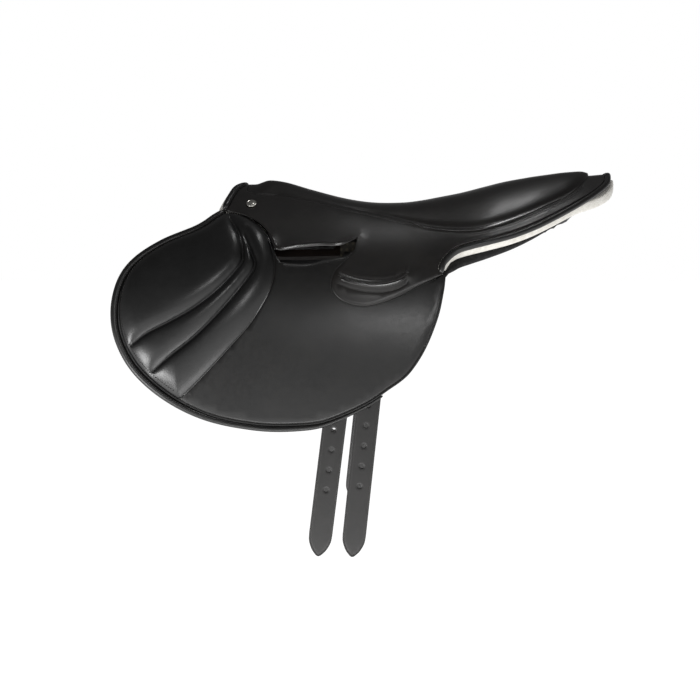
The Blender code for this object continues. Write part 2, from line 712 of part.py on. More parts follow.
def build_bindings():
    """Rolls over the pommel and round the cantle, each one piece from side to side."""
    def both_sides(line, depth):
        near = [form_point(p.x, p.y, depth) for p in line]
        middle = [p for p in near if p.y < -1.0]
        return middle, [mirrored(p, OFF) for p in middle]

    line = aside(pommel_line(9), POMMEL_ROLL_RADIUS)
    near, off = both_sides(line, SKIRT_ROLL_DEPTH)
    top = form_point(POMMEL_RIM[0][0] + POMMEL_ROLL_RADIUS, 0.01, SKIRT_ROLL_DEPTH)
    top.y = 0.0
    centres = near[::-1] + [top] + off
    roll("pommel_binding", centres, [POMMEL_ROLL_RADIUS] * len(centres), BLACK_LEATHER)
    line = aside(cantle_line(11), CANTLE_ROLL_RADIUS)
    near, off = both_sides(line, SKIRT_ROLL_DEPTH)
    top = form_point(CANTLE_RIM[-1][0] - CANTLE_ROLL_RADIUS, 0.01, SKIRT_ROLL_DEPTH)
    top.y = 0.0
    centres = near + [top] + off[::-1]
    roll("cantle_binding", centres, [CANTLE_ROLL_RADIUS] * len(centres), BLACK_LEATHER)


def rim_radius(x, low):
    """Radius of the roll along the rim of the flap: full in front, thinner below, dying out behind."""
    radius = FLAP_ROLL_RADIUS + (FLAP_ROLL_LOW_RADIUS - FLAP_ROLL_RADIUS) * smoothstep(x, -330, -200)
    if not low:
        return FLAP_ROLL_RADIUS
    return radius + (FLAP_ROLL_END_RADIUS - radius) * smoothstep(x, -150, FLAP_ROLL_END_X)


def rim_and_radii(step):
    """The outer line of the flap with the radius of its roll at each point; 0 where the roll has ended."""
    line = smooth_line([at_height(x, z) for x, z in FLAP_RIM], step)
    lowest = max(range(len(line)), key=lambda i: line[i].y)
    turn = min(range(len(line)), key=lambda i: line[i].x)
    radii = []
    for i, place in enumerate(line):
        radius = rim_radius(place.x, i > turn)
        radii.append(radius if i <= lowest or place.x < FLAP_ROLL_END_X else 0.0)
    return line, radii


def flap_edge(step):
    """Cut edge of the flap, inside its roll."""
    line, radii = rim_and_radii(step)
    ends = max(i for i, r in enumerate(radii) if r)
    insets = []
    for i, r in enumerate(radii):
        fade = 1 - smoothstep(i, ends + 1, ends + 4)
        insets.append(2 * r + SEAM_GAP if r else (2 * FLAP_ROLL_END_RADIUS + SEAM_GAP) * fade)
    return aside(line, insets)


def build_flap(side, word, hinge):
    """Lifting flap with its rolled edge, knee pad and keeper."""
    edge = flap_edge(11)
    rear = [at_height(x, fold_height(x) - FOLD_GAP) for x in (FOLD_REAR[0] - 2, 20, -10, -40, -62)]
    slot = smooth_line([at_height(x, z) for x, z in SLOT_LOWER], 10)
    front = smooth_line([at_height(x, z) for x, z in FLAP_TOP_FRONT], 9)
    edge = [p for p in edge if p.y > at_height(p.x, fold_height(p.x) - FOLD_GAP)[1]]
    outline = joined(edge, rear, slot, front)
    sheet(
        f"{word}_flap", outline, FLAP_DEPTH, FLAP_DEPTH + FLAP_THICKNESS, 27, BLACK_LEATHER, side,
        parent=hinge, square=1.0,
    )

    line, radii = rim_and_radii(11)
    kept = [i for i, r in enumerate(radii) if r]
    middles = aside([line[i] for i in kept], [radii[i] for i in kept])
    centres = [mirrored(form_point(p.x, p.y, FLAP_ROLL_DEPTH), side) for p in middles]
    roll(f"{word}_flap_binding", centres, [radii[i] for i in kept], BLACK_LEATHER, parent=hinge)

    build_knee_pad(side, word, hinge)
    build_keeper(side, word, hinge)


def build_knee_pad(side, word, hinge):
    """Padded leather on the front of the flap, in three swells between two sewn channels."""
    rear = smooth_line([at_height(x, z) for x, z in PAD_REAR], 10)
    front = aside(flap_edge(11), PAD_FRONT_INSET)
    bottom = min(range(len(front)), key=lambda i: (front[i] - rear[-1]).length)
    front = [p for p in front[:bottom] if p.x < PAD_REAR[0][0] - 4]
    outline = joined(front, rear[::-1])
    channels = []
    for points in PAD_CHANNELS:
        line = smooth_line([at_height(x, z) for x, z in points], 10)
        channels.append([p for p in line if inside(p, outline) and distance_to(p, outline, True) > 3])

    def thickness(place):
        to_edge = distance_to(place, outline, True)
        swell = PAD_EDGE_THICKNESS + PAD_RISE * (1 - math.exp(-to_edge / PAD_SHOULDER))
        to_channel = min(distance_to(place, line) for line in channels)
        dip = CHANNEL_DEPTH_SHARE * math.exp(-((to_channel / CHANNEL_WIDTH) ** 2))
        return PAD_EDGE_THICKNESS + (swell - PAD_EDGE_THICKNESS) * (1 - dip)

    under = FLAP_DEPTH - GAP
    sheet(
        f"{word}_knee_pad", outline, lambda p: under - thickness(p), under, 11, PAD_LEATHER, side,
        lines=channels, parent=hinge,
    )


def build_keeper(side, word, hinge):
    """Tongue sewn over the flap, standing off it along its slit."""
    low = smooth_line([at_height(x, z) for x, z in KEEPER_LOW], 8)
    top = [at_height(x, fold_height(x) - FOLD_GAP) for x in (34, 10, -14, -38, -60)]
    outline = joined(low, top)
    upper = smooth_line([at_height(x, z) for x, z in SLIT_UPPER], 9)
    middle = 0.5 * (len(upper) - 1)
    heights = [SLIT_HEIGHT * (1 - abs((i - middle) / middle) ** 4) for i in range(len(upper))]
    lower = [Vector((p.x, p.y + h)) for p, h in zip(upper, heights)][1:-1]
    slit = upper + lower[::-1]

    def near_slit(place, reach):
        return math.exp(-((distance_to(place, slit, True) / reach) ** 2))

    def outer(place):
        near_edge = 1 - math.exp(-distance_to(place, outline, True) / 8.0)
        return -KEEPER_STAND_OFF * near_slit(place, 13.0) * near_edge

    sheet(
        f"{word}_keeper", outline, outer, lambda p: outer(p) + SKIRT_THICKNESS, 15, BROWN_BLACK_LEATHER,
        side, holes=(slit,), parent=hinge, square=lambda p: near_slit(p, 6.0),
    )


def billet_y(height, x):
    """Half width of the middle of a billet whose top is at x: along the flap above, straight below."""
    depth = BILLET_DEPTH + BILLET_THICKNESS / 2

    def on_form(z):
        return -form_point(*at_height(x, z, depth), depth).y

    if height > BILLET_STRAIGHT_BELOW:
        return on_form(height)
    slope = (on_form(BILLET_STRAIGHT_BELOW) - on_form(BILLET_STRAIGHT_BELOW + 12)) / 12
    return on_form(BILLET_STRAIGHT_BELOW) + slope * (BILLET_STRAIGHT_BELOW - height)


def build_billet(side, name, pivot_place, lean_degrees, lowest_hole):
    """Punched strap with a pointed end, turning fore and aft about its sewn top."""
    half, length = BILLET_WIDTH / 2, BILLET_LENGTH
    shape = ((1.0, 1.0), (0.93, 0.67), (0.62, 0.3), (0.2, 0.045))
    tip = [(-half * w, length - BILLET_TIP * h) for w, h in shape]
    tip += [(-x, q) for x, q in tip[::-1]]
    down = [-BILLET_TOP + (length - BILLET_TIP + BILLET_TOP) * k / 14 for k in range(14)]
    outline = joined([(-half, q) for q in down], tip, [(half, q) for q in down[::-1]])
    holes = []
    for k in range(HOLE_COUNT):
        middle = Vector((0, lowest_hole - k * HOLE_PITCH))
        turns = [2 * math.pi * i / HOLE_SIDES for i in range(HOLE_SIDES)]
        holes.append([middle + HOLE_RADIUS * Vector((math.cos(a), math.sin(a))) for a in turns])
    points, faces = filled(outline, 26, holes)
    lean = math.radians(lean_degrees)
    px, pz = pivot_place
    pivot = Vector((px, -billet_y(pz, px), pz))

    def skin(offset):
        def place_on(p):
            x = px - p.y * math.sin(lean) + p.x * math.cos(lean)
            z = pz - p.y * math.cos(lean) - p.x * math.sin(lean)
            slope = (billet_y(z - 1, px) - billet_y(z + 1, px)) / 2
            outward = Vector((0, -1, slope)).normalized()
            return mirrored(Vector((x, -billet_y(z, px), z)) + outward * offset, side)
        return place_on

    bm = solid_between(points, faces, skin(BILLET_THICKNESS / 2), skin(-BILLET_THICKNESS / 2))
    piece(name, bm, STRAP_LEATHER, pivot=mirrored(pivot, side))


def rail_outline():
    """Outline of a rail of the tree."""
    middle = smooth_line(RAIL_MIDDLE, 24)
    above = [p - Vector((0, RAIL_HALF_WIDTH)) for p in middle]
    below = [p + Vector((0, RAIL_HALF_WIDTH)) for p in middle]
    return joined(below, above[::-1])


def build_tree(side, word):
    """Rail of laminated wood on one side of the saddle."""
    sheet(
        f"{word}_rail", rail_outline(), lambda p: rail_depth(p.x),
        lambda p: rail_depth(p.x) + RAIL_THICKNESS, STACK_SPACING, LAMINATE, side,
    )


def felt_half():
    """Outline of the near half of the felt, from the ridge at the pommel to the ridge at the cantle."""
    line = cantle_line(14)
    insets = [FELT_INSET - (FELT_INSET + FELT_PAST_CANTLE) * smoothstep(p.x, 215, 266) for p in line]
    rear = [p for p in aside(line, insets) if 3 < p.y < FELT_SIDE_T]
    low = smooth_line(FELT_FRONT_LOW, 14)
    top = [Vector((rim_x(t) - FELT_PAST_RIM, t)) for t in (0, 6, 12, 18, 24, 30, 36)]
    return joined(top, low, rear, [Vector((CANTLE_RIM[-1][0] + FELT_PAST_CANTLE, 0.0))])


def panel_outline():
    """Outline of one panel, from the cantle forward along its lower edge and back along the gullet."""
    line = cantle_line(14)
    insets = [PANEL_INSET[0] + (PANEL_INSET[1] - PANEL_INSET[0]) * smoothstep(p.x, 60, 190) for p in line]
    rear = aside(line, insets)[::-1]
    rear = [p for p in rear if PANEL_REAR_X[0] < p.x < PANEL_REAR_X[1] and p.y > PANEL_GULLET[-1][1] + 4]
    front = [at_stack_height(x, z, FELT_THICKNESS) for x, z in PANEL_FRONT_LOW]
    return joined(rear, smooth_line([rear[-1]] + front, 14), smooth_line(PANEL_GULLET, 16))


def stack_lines():
    """Lines that the nets of felt and panel both follow, so that one lies evenly on the other."""
    lines = [outline + outline[:1] for outline in (rail_outline(), panel_outline())]
    lines.append(felt_half())
    for inset in CANTLE_LIFT:
        stations = (44, 58, 70, 84, 107, 135, 165, 195, 216, 237, 251)
        lines.append([Vector(at_width(x, rim_half_width(x) - inset)) for x in stations])
    for inset in POMMEL_LIFT:
        lines.append([Vector((rim_x(t) + inset, t)) for t in (0, 8, 17, 26, 35, 50, 70, 90)])
    for x in (RAIL_END_X + PAST_RAIL[0], RAIL_END_X + PAST_RAIL[1], *PLATE_END):
        lines.append([Vector((x, t)) for t in (0, 15, 30, 45, 60)])
    return lines + rear_ridge()


def rear_ridge():
    """Lines along the narrow top of the form under the cantle."""
    return [[Vector((x, t)) for x in (150, 170, 190, 206, 222, 236, 250)] for t in (0, 9)]


def across_ridge(lines):
    """The lines with their copies on the off side."""
    return lines + [[Vector((p.x, -p.y)) for p in line] for line in lines]


def build_frame_across():
    """Steel arch over the withers, plate under the cantle and webs between the rails."""
    turns = [ARCH_REACH * (-1 + 2 * k / 22) for k in range(23)]
    front = [Vector((rim_x(t) + ARCH_FROM_RIM[0], t)) for t in turns]
    back = [Vector((rim_x(t) + ARCH_FROM_RIM[1], t)) for t in turns]
    top = RAIL_DEPTH_FRONT - GAP - ARCH_THICKNESS
    sheet("head_arch", joined(front, back[::-1]), top, top + ARCH_THICKNESS, 30, STEEL)

    edge = aside(cantle_line(14), CANTLE_PLATE_INSET)
    edge = [p for p in edge if p.x > CANTLE_PLATE_FRONT and p.y > 2]
    off = [Vector((p.x, -p.y)) for p in edge[::-1]]
    front = [Vector((CANTLE_PLATE_FRONT + 10 * (1 - (t / 60) ** 2), t)) for t in (-40, -20, 0, 20, 40)]
    sheet(
        "cantle_plate", joined(edge, off, front), CANTLE_PLATE_DEPTH,
        CANTLE_PLATE_DEPTH + CANTLE_PLATE_THICKNESS, STACK_SPACING, LAMINATE,
        lines=across_ridge([rail_outline()] + rear_ridge()),
    )

    for name, x in SEAT_WEBS:
        reach = along(RAIL_MIDDLE, x) - RAIL_HALF_WIDTH + WEB_OVERLAP
        turns = [reach * (-1 + 2 * k / 14) for k in range(15)]
        front = [Vector((x - SEAT_WEB_WIDTH / 2, t)) for t in turns]
        back = [Vector((x + SEAT_WEB_WIDTH / 2, t)) for t in turns]
        sheet(
            name, joined(front, back[::-1]), lambda p: rail_depth(p.x) - WEB_GAP - WEB_THICKNESS,
            lambda p: rail_depth(p.x) - WEB_GAP, 16, CANVAS, lines=across_ridge([rail_outline()]),
        )


def build_girth_web(side, word):
    """Canvas web that lies on the rail and carries the tops of the two billets."""
    x0, x1 = GIRTH_WEB_X
    across = [x0 + (x1 - x0) * k / 5 for k in range(6)]
    bottom = [Vector(at_height(x, GIRTH_WEB_BOTTOM, SWEAT_DEPTH)) for x in across]
    share = [k / 7 for k in range(8)]
    front = [Vector((x0, GIRTH_WEB_TOP_T + (bottom[0].y - GIRTH_WEB_TOP_T) * k)) for k in share]
    back = [Vector((x1, GIRTH_WEB_TOP_T + (bottom[-1].y - GIRTH_WEB_TOP_T) * k)) for k in share]
    top = [Vector((x, GIRTH_WEB_TOP_T)) for x in across]

    def inner(place):
        low = SWEAT_DEPTH - WEB_CLEAR_OF_SWEAT_FLAP
        on_rail = rail_depth(place.x) - WEB_GAP
        height = form_point(place.x, place.y, SWEAT_DEPTH).z
        return low + (on_rail - low) * smoothstep(height, *WEB_STEP)

    steps = [[Vector(at_height(x, z, SWEAT_DEPTH)) for x in across] for z in WEB_STEP]
    sheet(
        f"{word}_girth_web", joined(front, bottom, back[::-1], top[::-1]),
        lambda p: inner(p) - WEB_THICKNESS, inner, 15, CANVAS, side, lines=steps,
    )


def build_stirrup_bar(side, word):
    """Straight bar that stands off its plate, open at the back for the stirrup leather, with two rivets."""
    point, forward, _, normal = form_axes(BAR_CENTRE_X, BAR_PLATE_T, RAIL_DEPTH_FRONT)
    frame = local_frame(point, forward, normal, side)
    seat, stand = BAR_SEAT_GAP, BAR_STAND_OFF
    half, low, high = BAR_LENGTH / 2, -BAR_DROP - BAR_HEIGHT / 2, -BAR_DROP + BAR_HEIGHT / 2
    plate_half, front = BAR_PLATE_HEIGHT / 2, -BAR_LENGTH / 2 - BAR_FOOT
    outer = stand + BAR_THICKNESS

    tip = BAR_TIP_RADIUS
    turns = [math.radians(a) for a in (-90, -60, -30, 0, 30, 60, 90)]
    end = [
        (half - tip + tip * math.cos(a), (low + high) / 2 + (high - low) / 2 * math.sin(a)) for a in turns
    ]
    foot = front + BAR_FOOT
    blade = [(front, low), *end, (foot, high), (foot, plate_half - STEEL_STEP), (front, plate_half - STEEL_STEP)]
    inset = front + STEEL_STEP
    plate = [
        (inset, seat), (front + BAR_PLATE_LENGTH, seat),
        (front + BAR_PLATE_LENGTH, seat + BAR_PLATE_THICKNESS), (foot - 4, seat + BAR_PLATE_THICKNESS),
        (foot - 4, stand + 1), (inset, stand + 1),
    ]
    blade = piece(f"{word}_stirrup_bar", prism(blade, stand, outer), STEEL)
    other = piece(f"{word}_bar_plate", prism(plate, -plate_half, plate_half, True), STEEL)
    other.hide_render = True
    other.display_type = "WIRE"
    union = blade.modifiers.new("plate", "BOOLEAN")
    union.operation = "UNION"
    union.object = other
    for obj in (blade, other):
        obj.data.transform(Matrix.Scale(MM, 4) @ frame @ Matrix.Scale(1 / MM, 4))
        if side == OFF:
            obj.data.flip_normals()
    rail = bpy.data.objects[f"{word}_rail"]
    for number, place in (("front", front + 20), ("rear", front + 20 + RIVET_PITCH)):
        head = seat + BAR_PLATE_THICKNESS + GAP
        at = frame @ Matrix.Translation((place, 0, head))
        profile = (
            (0, RIVET_HEAD_HEIGHT), (RIVET_HEAD_RADIUS * 0.6, RIVET_HEAD_HEIGHT * 0.8), (RIVET_HEAD_RADIUS, 0),
            (RIVET_RADIUS, 0), (RIVET_RADIUS, -RIVET_LENGTH), (0, -RIVET_LENGTH),
        )
        rivet = turned(profile)
        bmesh.ops.transform(rivet, matrix=at, verts=rivet.verts)
        piece(f"{word}_bar_rivet_{number}", rivet, STEEL)
        for obj in (blade, rail):
            drilled(obj, f"{obj.name}_{number}_hole", at, RIVET_RADIUS + RIVET_CLEARANCE, 24)


def build_sweat_flap(side, word):
    """Under flap between the billets and the horse."""
    line = smooth_line([at_height(x, z) for x, z in FLAP_RIM], 14)
    edge = aside(line, SWEAT_RIM_INSET)
    edge = [Vector(at_height(p.x, form_point(*p).z, SWEAT_DEPTH)) for p in edge]
    edge = [p for p in edge if form_point(p.x, p.y, SWEAT_DEPTH).z < (-40 if p.x > 0 else -8)]
    top = smooth_line([at_height(x, z, SWEAT_DEPTH) for x, z in SWEAT_TOP], 14)
    outline = joined(edge, top)
    sheet(f"{word}_sweat_flap", outline, SWEAT_DEPTH, SWEAT_DEPTH + SWEAT_FLAP_THICKNESS, 30, BLACK_LEATHER, side)


def at_stack_height(x, height, below):
    """(x, t) of the place at this height, at a depth below the outer face of the felt."""
    place = Vector(at_height(x, height, 20.0))
    for _ in range(12):
        place = Vector(at_height(x, height, stack_depth(place) + below))
    return place


def build_felt():
    """One white felt over the back, from the pommel to just past the cantle binding."""
    near = felt_half()
    off = [Vector((p.x, -p.y)) for p in near[::-1] if abs(p.y) > 0.1]
    outline = joined(near, off)
    sheet(
        "felt_underlay", outline, stack_depth, lambda p: stack_depth(p) + FELT_THICKNESS, STACK_SPACING,
        WHITE_FELT, lines=across_ridge(stack_lines()),
    )


def build_panel(side, word):
    """Padded black panel under the felt."""
    def outer(place):
        return stack_depth(place) + FELT_THICKNESS + LAYER_GAP

    def inner(place):
        swell = 1 - math.exp(-distance_to(place, outline, True) / 12.0)
        return outer(place) + PANEL_THICKNESS * (0.95 + 0.3 * swell)

    outline = panel_outline()
    sheet(f"{word}_panel", outline, outer, inner, STACK_SPACING, LINING_CLOTH, side, lines=stack_lines())


def build_stud(side, word):
    """Nickel nail whose shank goes through the skirt to the head arch."""
    point, forward, _, normal = form_axes(*at_height(*STUD_PLACE))
    shank = [(STUD_PROFILE[-1][0], -STUD_SHANK), (0.0, -STUD_SHANK)]
    bm = turned(STUD_PROFILE + tuple(shank))
    at = local_frame(point, forward, normal, side) @ Matrix.Translation((0, 0, GAP))
    bmesh.ops.transform(bm, matrix=at, verts=bm.verts)
    piece(f"{word}_head_stud", bm, NICKEL)


def fold_empty(side, word):
    """Empty at the front end of the fold line, which carries the flap and what is sewn on it."""
    empty = bpy.data.objects.new(f"{word}_flap_fold", None)
    empty.location = mirrored(form_point(*at_height(*FOLD_FRONT)), side) * MM
    bpy.context.scene.collection.objects.link(empty)
    return empty


def main():
    """Clears the scene and builds the saddle."""
    for old in list(bpy.data.objects):
        bpy.data.objects.remove(old, do_unlink=True)
    build_frame_across()
    build_seat()
    build_bindings()
    build_felt()
    for side, word in ((NEAR, "near"), (OFF, "off")):
        build_tree(side, word)
        build_stirrup_bar(side, word)
        build_girth_web(side, word)
        build_skirt(side, word)
        build_stud(side, word)
        build_sweat_flap(side, word)
        build_panel(side, word)
        build_flap(side, word, fold_empty(side, word))
        for place, pivot, lean, hole in (
            ("front", FRONT_BILLET_PIVOT, FRONT_BILLET_LEAN_DEGREES, FRONT_LOWEST_HOLE),
            ("rear", REAR_BILLET_PIVOT, REAR_BILLET_LEAN_DEGREES, REAR_LOWEST_HOLE),
        ):
            build_billet(side, f"{word}_{place}_billet", pivot, lean, hole)


main()
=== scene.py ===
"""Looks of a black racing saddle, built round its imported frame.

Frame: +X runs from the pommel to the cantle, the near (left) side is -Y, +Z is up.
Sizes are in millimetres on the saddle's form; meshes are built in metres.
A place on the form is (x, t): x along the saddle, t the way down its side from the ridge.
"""

import json
import logging
import math
from collections.abc import Callable, Sequence
from dataclasses import dataclass, field
from enum import Enum

import bmesh
import bpy
import numpy as np
from mathutils import Euler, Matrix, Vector
from mathutils.geometry import delaunay_2d_cdt


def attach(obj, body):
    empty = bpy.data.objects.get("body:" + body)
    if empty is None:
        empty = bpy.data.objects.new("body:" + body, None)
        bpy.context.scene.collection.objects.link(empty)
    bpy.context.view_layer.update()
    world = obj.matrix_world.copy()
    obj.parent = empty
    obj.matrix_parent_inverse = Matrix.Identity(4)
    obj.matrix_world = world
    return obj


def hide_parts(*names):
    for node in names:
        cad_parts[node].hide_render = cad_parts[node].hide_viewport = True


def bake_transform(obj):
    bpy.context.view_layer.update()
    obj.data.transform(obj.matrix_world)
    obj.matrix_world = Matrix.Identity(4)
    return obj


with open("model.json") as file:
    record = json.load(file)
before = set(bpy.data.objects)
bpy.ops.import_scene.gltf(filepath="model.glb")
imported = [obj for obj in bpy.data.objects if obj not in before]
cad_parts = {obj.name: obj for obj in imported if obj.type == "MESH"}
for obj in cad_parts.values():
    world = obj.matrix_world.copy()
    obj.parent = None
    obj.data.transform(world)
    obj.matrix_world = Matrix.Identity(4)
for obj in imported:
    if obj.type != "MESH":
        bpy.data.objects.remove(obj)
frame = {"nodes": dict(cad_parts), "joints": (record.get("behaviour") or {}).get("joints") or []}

LOG = logging.getLogger("racing_saddle")
MM = 0.001
NodeTree, Node, Socket, Object = bpy.types.NodeTree, bpy.types.Node, bpy.types.NodeSocket, bpy.types.Object
# Places are rows of (x, t) on the form, and points are rows of (x, y, z).
Places = np.ndarray
Points = np.ndarray
Depth = float | np.ndarray
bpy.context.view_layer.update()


class Side(Enum):
    """Side of the horse: near is the left one."""

    NEAR = "near"
    OFF = "off"

    def across(self, points: Points) -> Points:
        """Points of the near side, or moved across the centre plane for the off side."""
        return points if self is Side.NEAR else points * np.array((1.0, -1.0, 1.0))


# Small geometry


def smoothstep(value: Depth, low: float, high: float) -> Depth:
    """Share of a smooth rise between two values.

    Args:
        value: Value to read.
        low: Value up to which the share is 0.
        high: Value from which it is 1.

    Returns:
        The share.
    """
    share = np.clip((np.asarray(value, float) - low) / (high - low), 0.0, 1.0)
    return share * share * (3 - 2 * share)


def curve_through(rows: Sequence[Sequence[float]], x: Depth, column: int = 1) -> Depth:
    """Value of a column of a table at x, on a smooth curve through its rows.

    Args:
        rows: Table whose first column is the place.
        x: Places to read.
        column: Column to read.

    Returns:
        One value for each x.
    """
    table = np.array([(row[0], row[column]) for row in rows], float)
    table = table[np.argsort(table[:, 0])]
    places, values = table[:, 0], table[:, 1]
    last = len(places) - 1
    low, high = np.maximum(np.arange(last + 1) - 1, 0), np.minimum(np.arange(last + 1) + 1, last)
    slopes = (values[high] - values[low]) / (places[high] - places[low])
    x = np.clip(x, places[0], places[-1])
    i = np.clip(np.searchsorted(places, x, side="right") - 1, 0, last - 1)
    span = places[i + 1] - places[i]
    u = (x - places[i]) / span
    return (
        values[i] * (1 + 2 * u) * (1 - u) ** 2
        + values[i + 1] * u * u * (3 - 2 * u)
        + span * (slopes[i] * u * (1 - u) ** 2 + slopes[i + 1] * u * u * (u - 1))
    )


def smooth_line(points: Sequence[Sequence[float]], step: float) -> Places:
    """Points along a smooth curve through the given ones.

    Args:
        points: Points that the curve goes through.
        step: Distance between the new points, about.

    Returns:
        The new points, with the given ones among them.
    """
    given = np.array(points, float)
    line = [given[0]]
    for i in range(len(given) - 1):
        a, b = given[i], given[i + 1]
        before = given[i - 1] if i else a * 2 - b
        after = given[i + 2] if i + 2 < len(given) else b * 2 - a
        count = max(1, round(float(np.linalg.norm(b - a)) / step))
        for k in range(1, count + 1):
            u = k / count
            line.append(
                0.5 * (2 * a + (b - before) * u + (2 * before - 5 * a + 4 * b - after) * u * u
                       + (3 * a - before - 3 * b + after) * u * u * u)
            )
    return np.array(line)


def joined(*lines: Places, least: float = 0.6) -> Places:
    """One closed outline from lines that follow each other.

    Args:
        *lines: The lines, in order.
        least: Points that are nearer than this to the last one are left out.

    Returns:
        The outline.
    """
    outline: list[np.ndarray] = []
    for line in lines:
        for point in line:
            if not outline or np.linalg.norm(point - outline[-1]) > least:
                outline.append(np.asarray(point, float))
    if np.linalg.norm(outline[0] - outline[-1]) <= least:
        outline.pop()
    return np.array(outline)


def inside(places: Places, outline: Places) -> np.ndarray:
    """Whether each place lies inside a closed outline.

    Args:
        places: Places to test.
        outline: The outline.

    Returns:
        One truth value for each place.
    """
    found = np.zeros(len(places), bool)
    ends = np.roll(outline, -1, axis=0)
    for a, b in zip(outline, ends):
        if a[1] == b[1]:
            continue
        crosses = (a[1] > places[:, 1]) != (b[1] > places[:, 1])
        found ^= crosses & (places[:, 0] < (b[0] - a[0]) * (places[:, 1] - a[1]) / (b[1] - a[1]) + a[0])
    return found


def nearest(places: Places, line: Places, closed: bool = False) -> tuple[np.ndarray, np.ndarray]:
    """Distance from each place to a line, and how far along the line the nearest point is.

    Args:
        places: Places to measure from.
        line: Points of the line.
        closed: Whether the line returns to its first point.

    Returns:
        Distances, and lengths along the line.
    """
    starts = line if closed else line[:-1]
    ways = (np.roll(line, -1, axis=0) if closed else line[1:]) - starts
    lengths = np.linalg.norm(ways, axis=1)
    before = np.concatenate(([0.0], np.cumsum(lengths)[:-1]))
    best, arc = np.full(len(places), 1e9), np.zeros(len(places))
    for a, way, length, start in zip(starts, ways, lengths, before):
        if length < 1e-9:
            continue
        share = np.clip((places - a) @ way / length**2, 0.0, 1.0)
        far = np.hypot(*(places - a - share[:, None] * way).T)
        closer = far < best
        best[closer] = far[closer]
        arc[closer] = start + share[closer] * length
    return best, arc


def distance_to(places: Places, line: Places, closed: bool = False) -> np.ndarray:
    """Distance from each place to a line."""
    return nearest(places, line, closed)[0]


def unit(vectors: Points) -> Points:
    """The vectors at length one."""
    return vectors / np.maximum(np.linalg.norm(vectors, axis=-1, keepdims=True), 1e-12)


def bell(distance: Depth, width: float) -> Depth:
    """1 at no distance, falling off over about the width on both sides."""
    return np.exp(-((distance / width) ** 2))


def ripple(places: Places) -> np.ndarray:
    """Slow, uneven waves over leather that has been worked and laid on a form.

    Args:
        places: Places on the form.

    Returns:
        Height of the waves, from -1 to 1.
    """
    x, t = places[:, 0], places[:, 1]
    waves = (
        np.sin(x / 37 + 1.3) * np.sin(t / 45 + 0.4)
        + 0.6 * np.sin(x / 23 - t / 31 + 2.0)
        + 0.4 * np.sin(x / 15 + t / 19 + 0.7)
    )
    return waves / 2.0


@dataclass(frozen=True)
class Form:
    """The surface that every sheet and pad of the saddle is bent over."""

    half_width: float = 145.0
    rear_widening: float = 10.0
    side_fall: float = 75.0
    squareness: int = 4
    depth_drop: float = 1.1
    # Rows of (x, height of the sharp ridge, how far its rounding lowers it).
    rows: tuple = (
        (-400, 92.3, 7.4), (-205, 92.3, 7.4), (-157, 91.3, 8.7), (-120, 91.4, 16.8), (-76, 92.8, 29.2),
        (-40, 91.9, 33.7), (0, 92.4, 34.6), (25, 94.3, 33.9), (50, 97.0, 32.2), (79, 101.2, 31.0),
        (107, 104.3, 27.7), (135, 104.9, 22.3), (165, 105.6, 19.0), (195, 105.0, 15.7),
        (226, 104.8, 11.8), (249, 103.3, 5.5), (265, 103.2, 5.2), (290, 103.0, 5.0),
    )

    def width(self, x: Depth) -> Depth:
        """Half width that the sides tend to, at x."""
        return self.half_width + self.rear_widening * smoothstep(x, 20, 120)

    def points(self, places: Places, depth: Depth = 0.0) -> Points:
        """Points of the form, or of a layer below it.

        Args:
            places: Places, with t positive on the near side.
            depth: Depth of the layer.

        Returns:
            One point for each place.
        """
        x, t = places[:, 0], places[:, 1]
        width = (self.width(x) - depth) * (1 - np.exp(-np.abs(t) / self.side_fall))
        power = self.squareness
        fall = (np.abs(t) ** power + curve_through(self.rows, x, 2) ** power) ** (1 / power)
        return np.stack(
            (x, -np.sign(t) * width, curve_through(self.rows, x) - fall - self.depth_drop * depth), axis=1
        )

    def normals(self, places: Places, depth: Depth = 0.0) -> Points:
        """Outward directions of the form.

        Args:
            places: Places on it.
            depth: Depth of the layer.

        Returns:
            One direction for each place.
        """
        small = np.array((0.05, 0.0)), np.array((0.0, 0.05))
        forward = self.points(places + small[0], depth) - self.points(places - small[0], depth)
        down = self.points(places + small[1], depth) - self.points(places - small[1], depth)
        return unit(np.cross(down, forward))

    def at_width(self, x: Depth, half: Depth, depth: Depth = 0.0) -> Places:
        """Places that lie this far from the centre plane."""
        x, half = np.broadcast_arrays(np.atleast_1d(np.asarray(x, float)), half)
        return np.stack((x, -self.side_fall * np.log(1 - half / (self.width(x) - depth))), axis=1)

    def at_height(self, rows: Sequence[Sequence[float]], depth: Depth = 0.0) -> Places:
        """Places as a side view shows them.

        Args:
            rows: Rows of (x, height).
            depth: Depth of the layer.

        Returns:
            One place for each row.
        """
        x, z = np.array(rows, float).T
        power = self.squareness
        fall = np.maximum(curve_through(self.rows, x) - self.depth_drop * depth - z, 0.0)
        t = np.maximum(fall**power - curve_through(self.rows, x, 2) ** power, 0.0) ** (1 / power)
        return np.stack((x, t), axis=1)

    def aside(self, line: Places, distance: Depth) -> Places:
        """A line moved sideways on the form.

        Args:
            line: The line.
            distance: Real distance to the right of its direction.

        Returns:
            The moved line.
        """
        low = np.maximum(np.arange(len(line)) - 1, 0)
        high = np.minimum(np.arange(len(line)) + 1, len(line) - 1)
        way, small = line[high] - line[low], 0.05
        point = self.points(line)
        along_x = (self.points(line + (small, 0.0)) - point) / small
        along_t = (self.points(line + (0.0, small)) - point) / small
        pairs = (along_x, along_x), (along_x, along_t), (along_t, along_t)
        e, f, g = (np.sum(p * q, axis=1) for p, q in pairs)
        turn = np.stack((f * way[:, 0] + g * way[:, 1], -(e * way[:, 0] + f * way[:, 1])), axis=1)
        size = np.sqrt(e * turn[:, 0] ** 2 + 2 * f * turn[:, 0] * turn[:, 1] + g * turn[:, 1] ** 2)
        return line + turn * (np.broadcast_to(distance, size.shape) / size)[:, None]


FORM = Form()


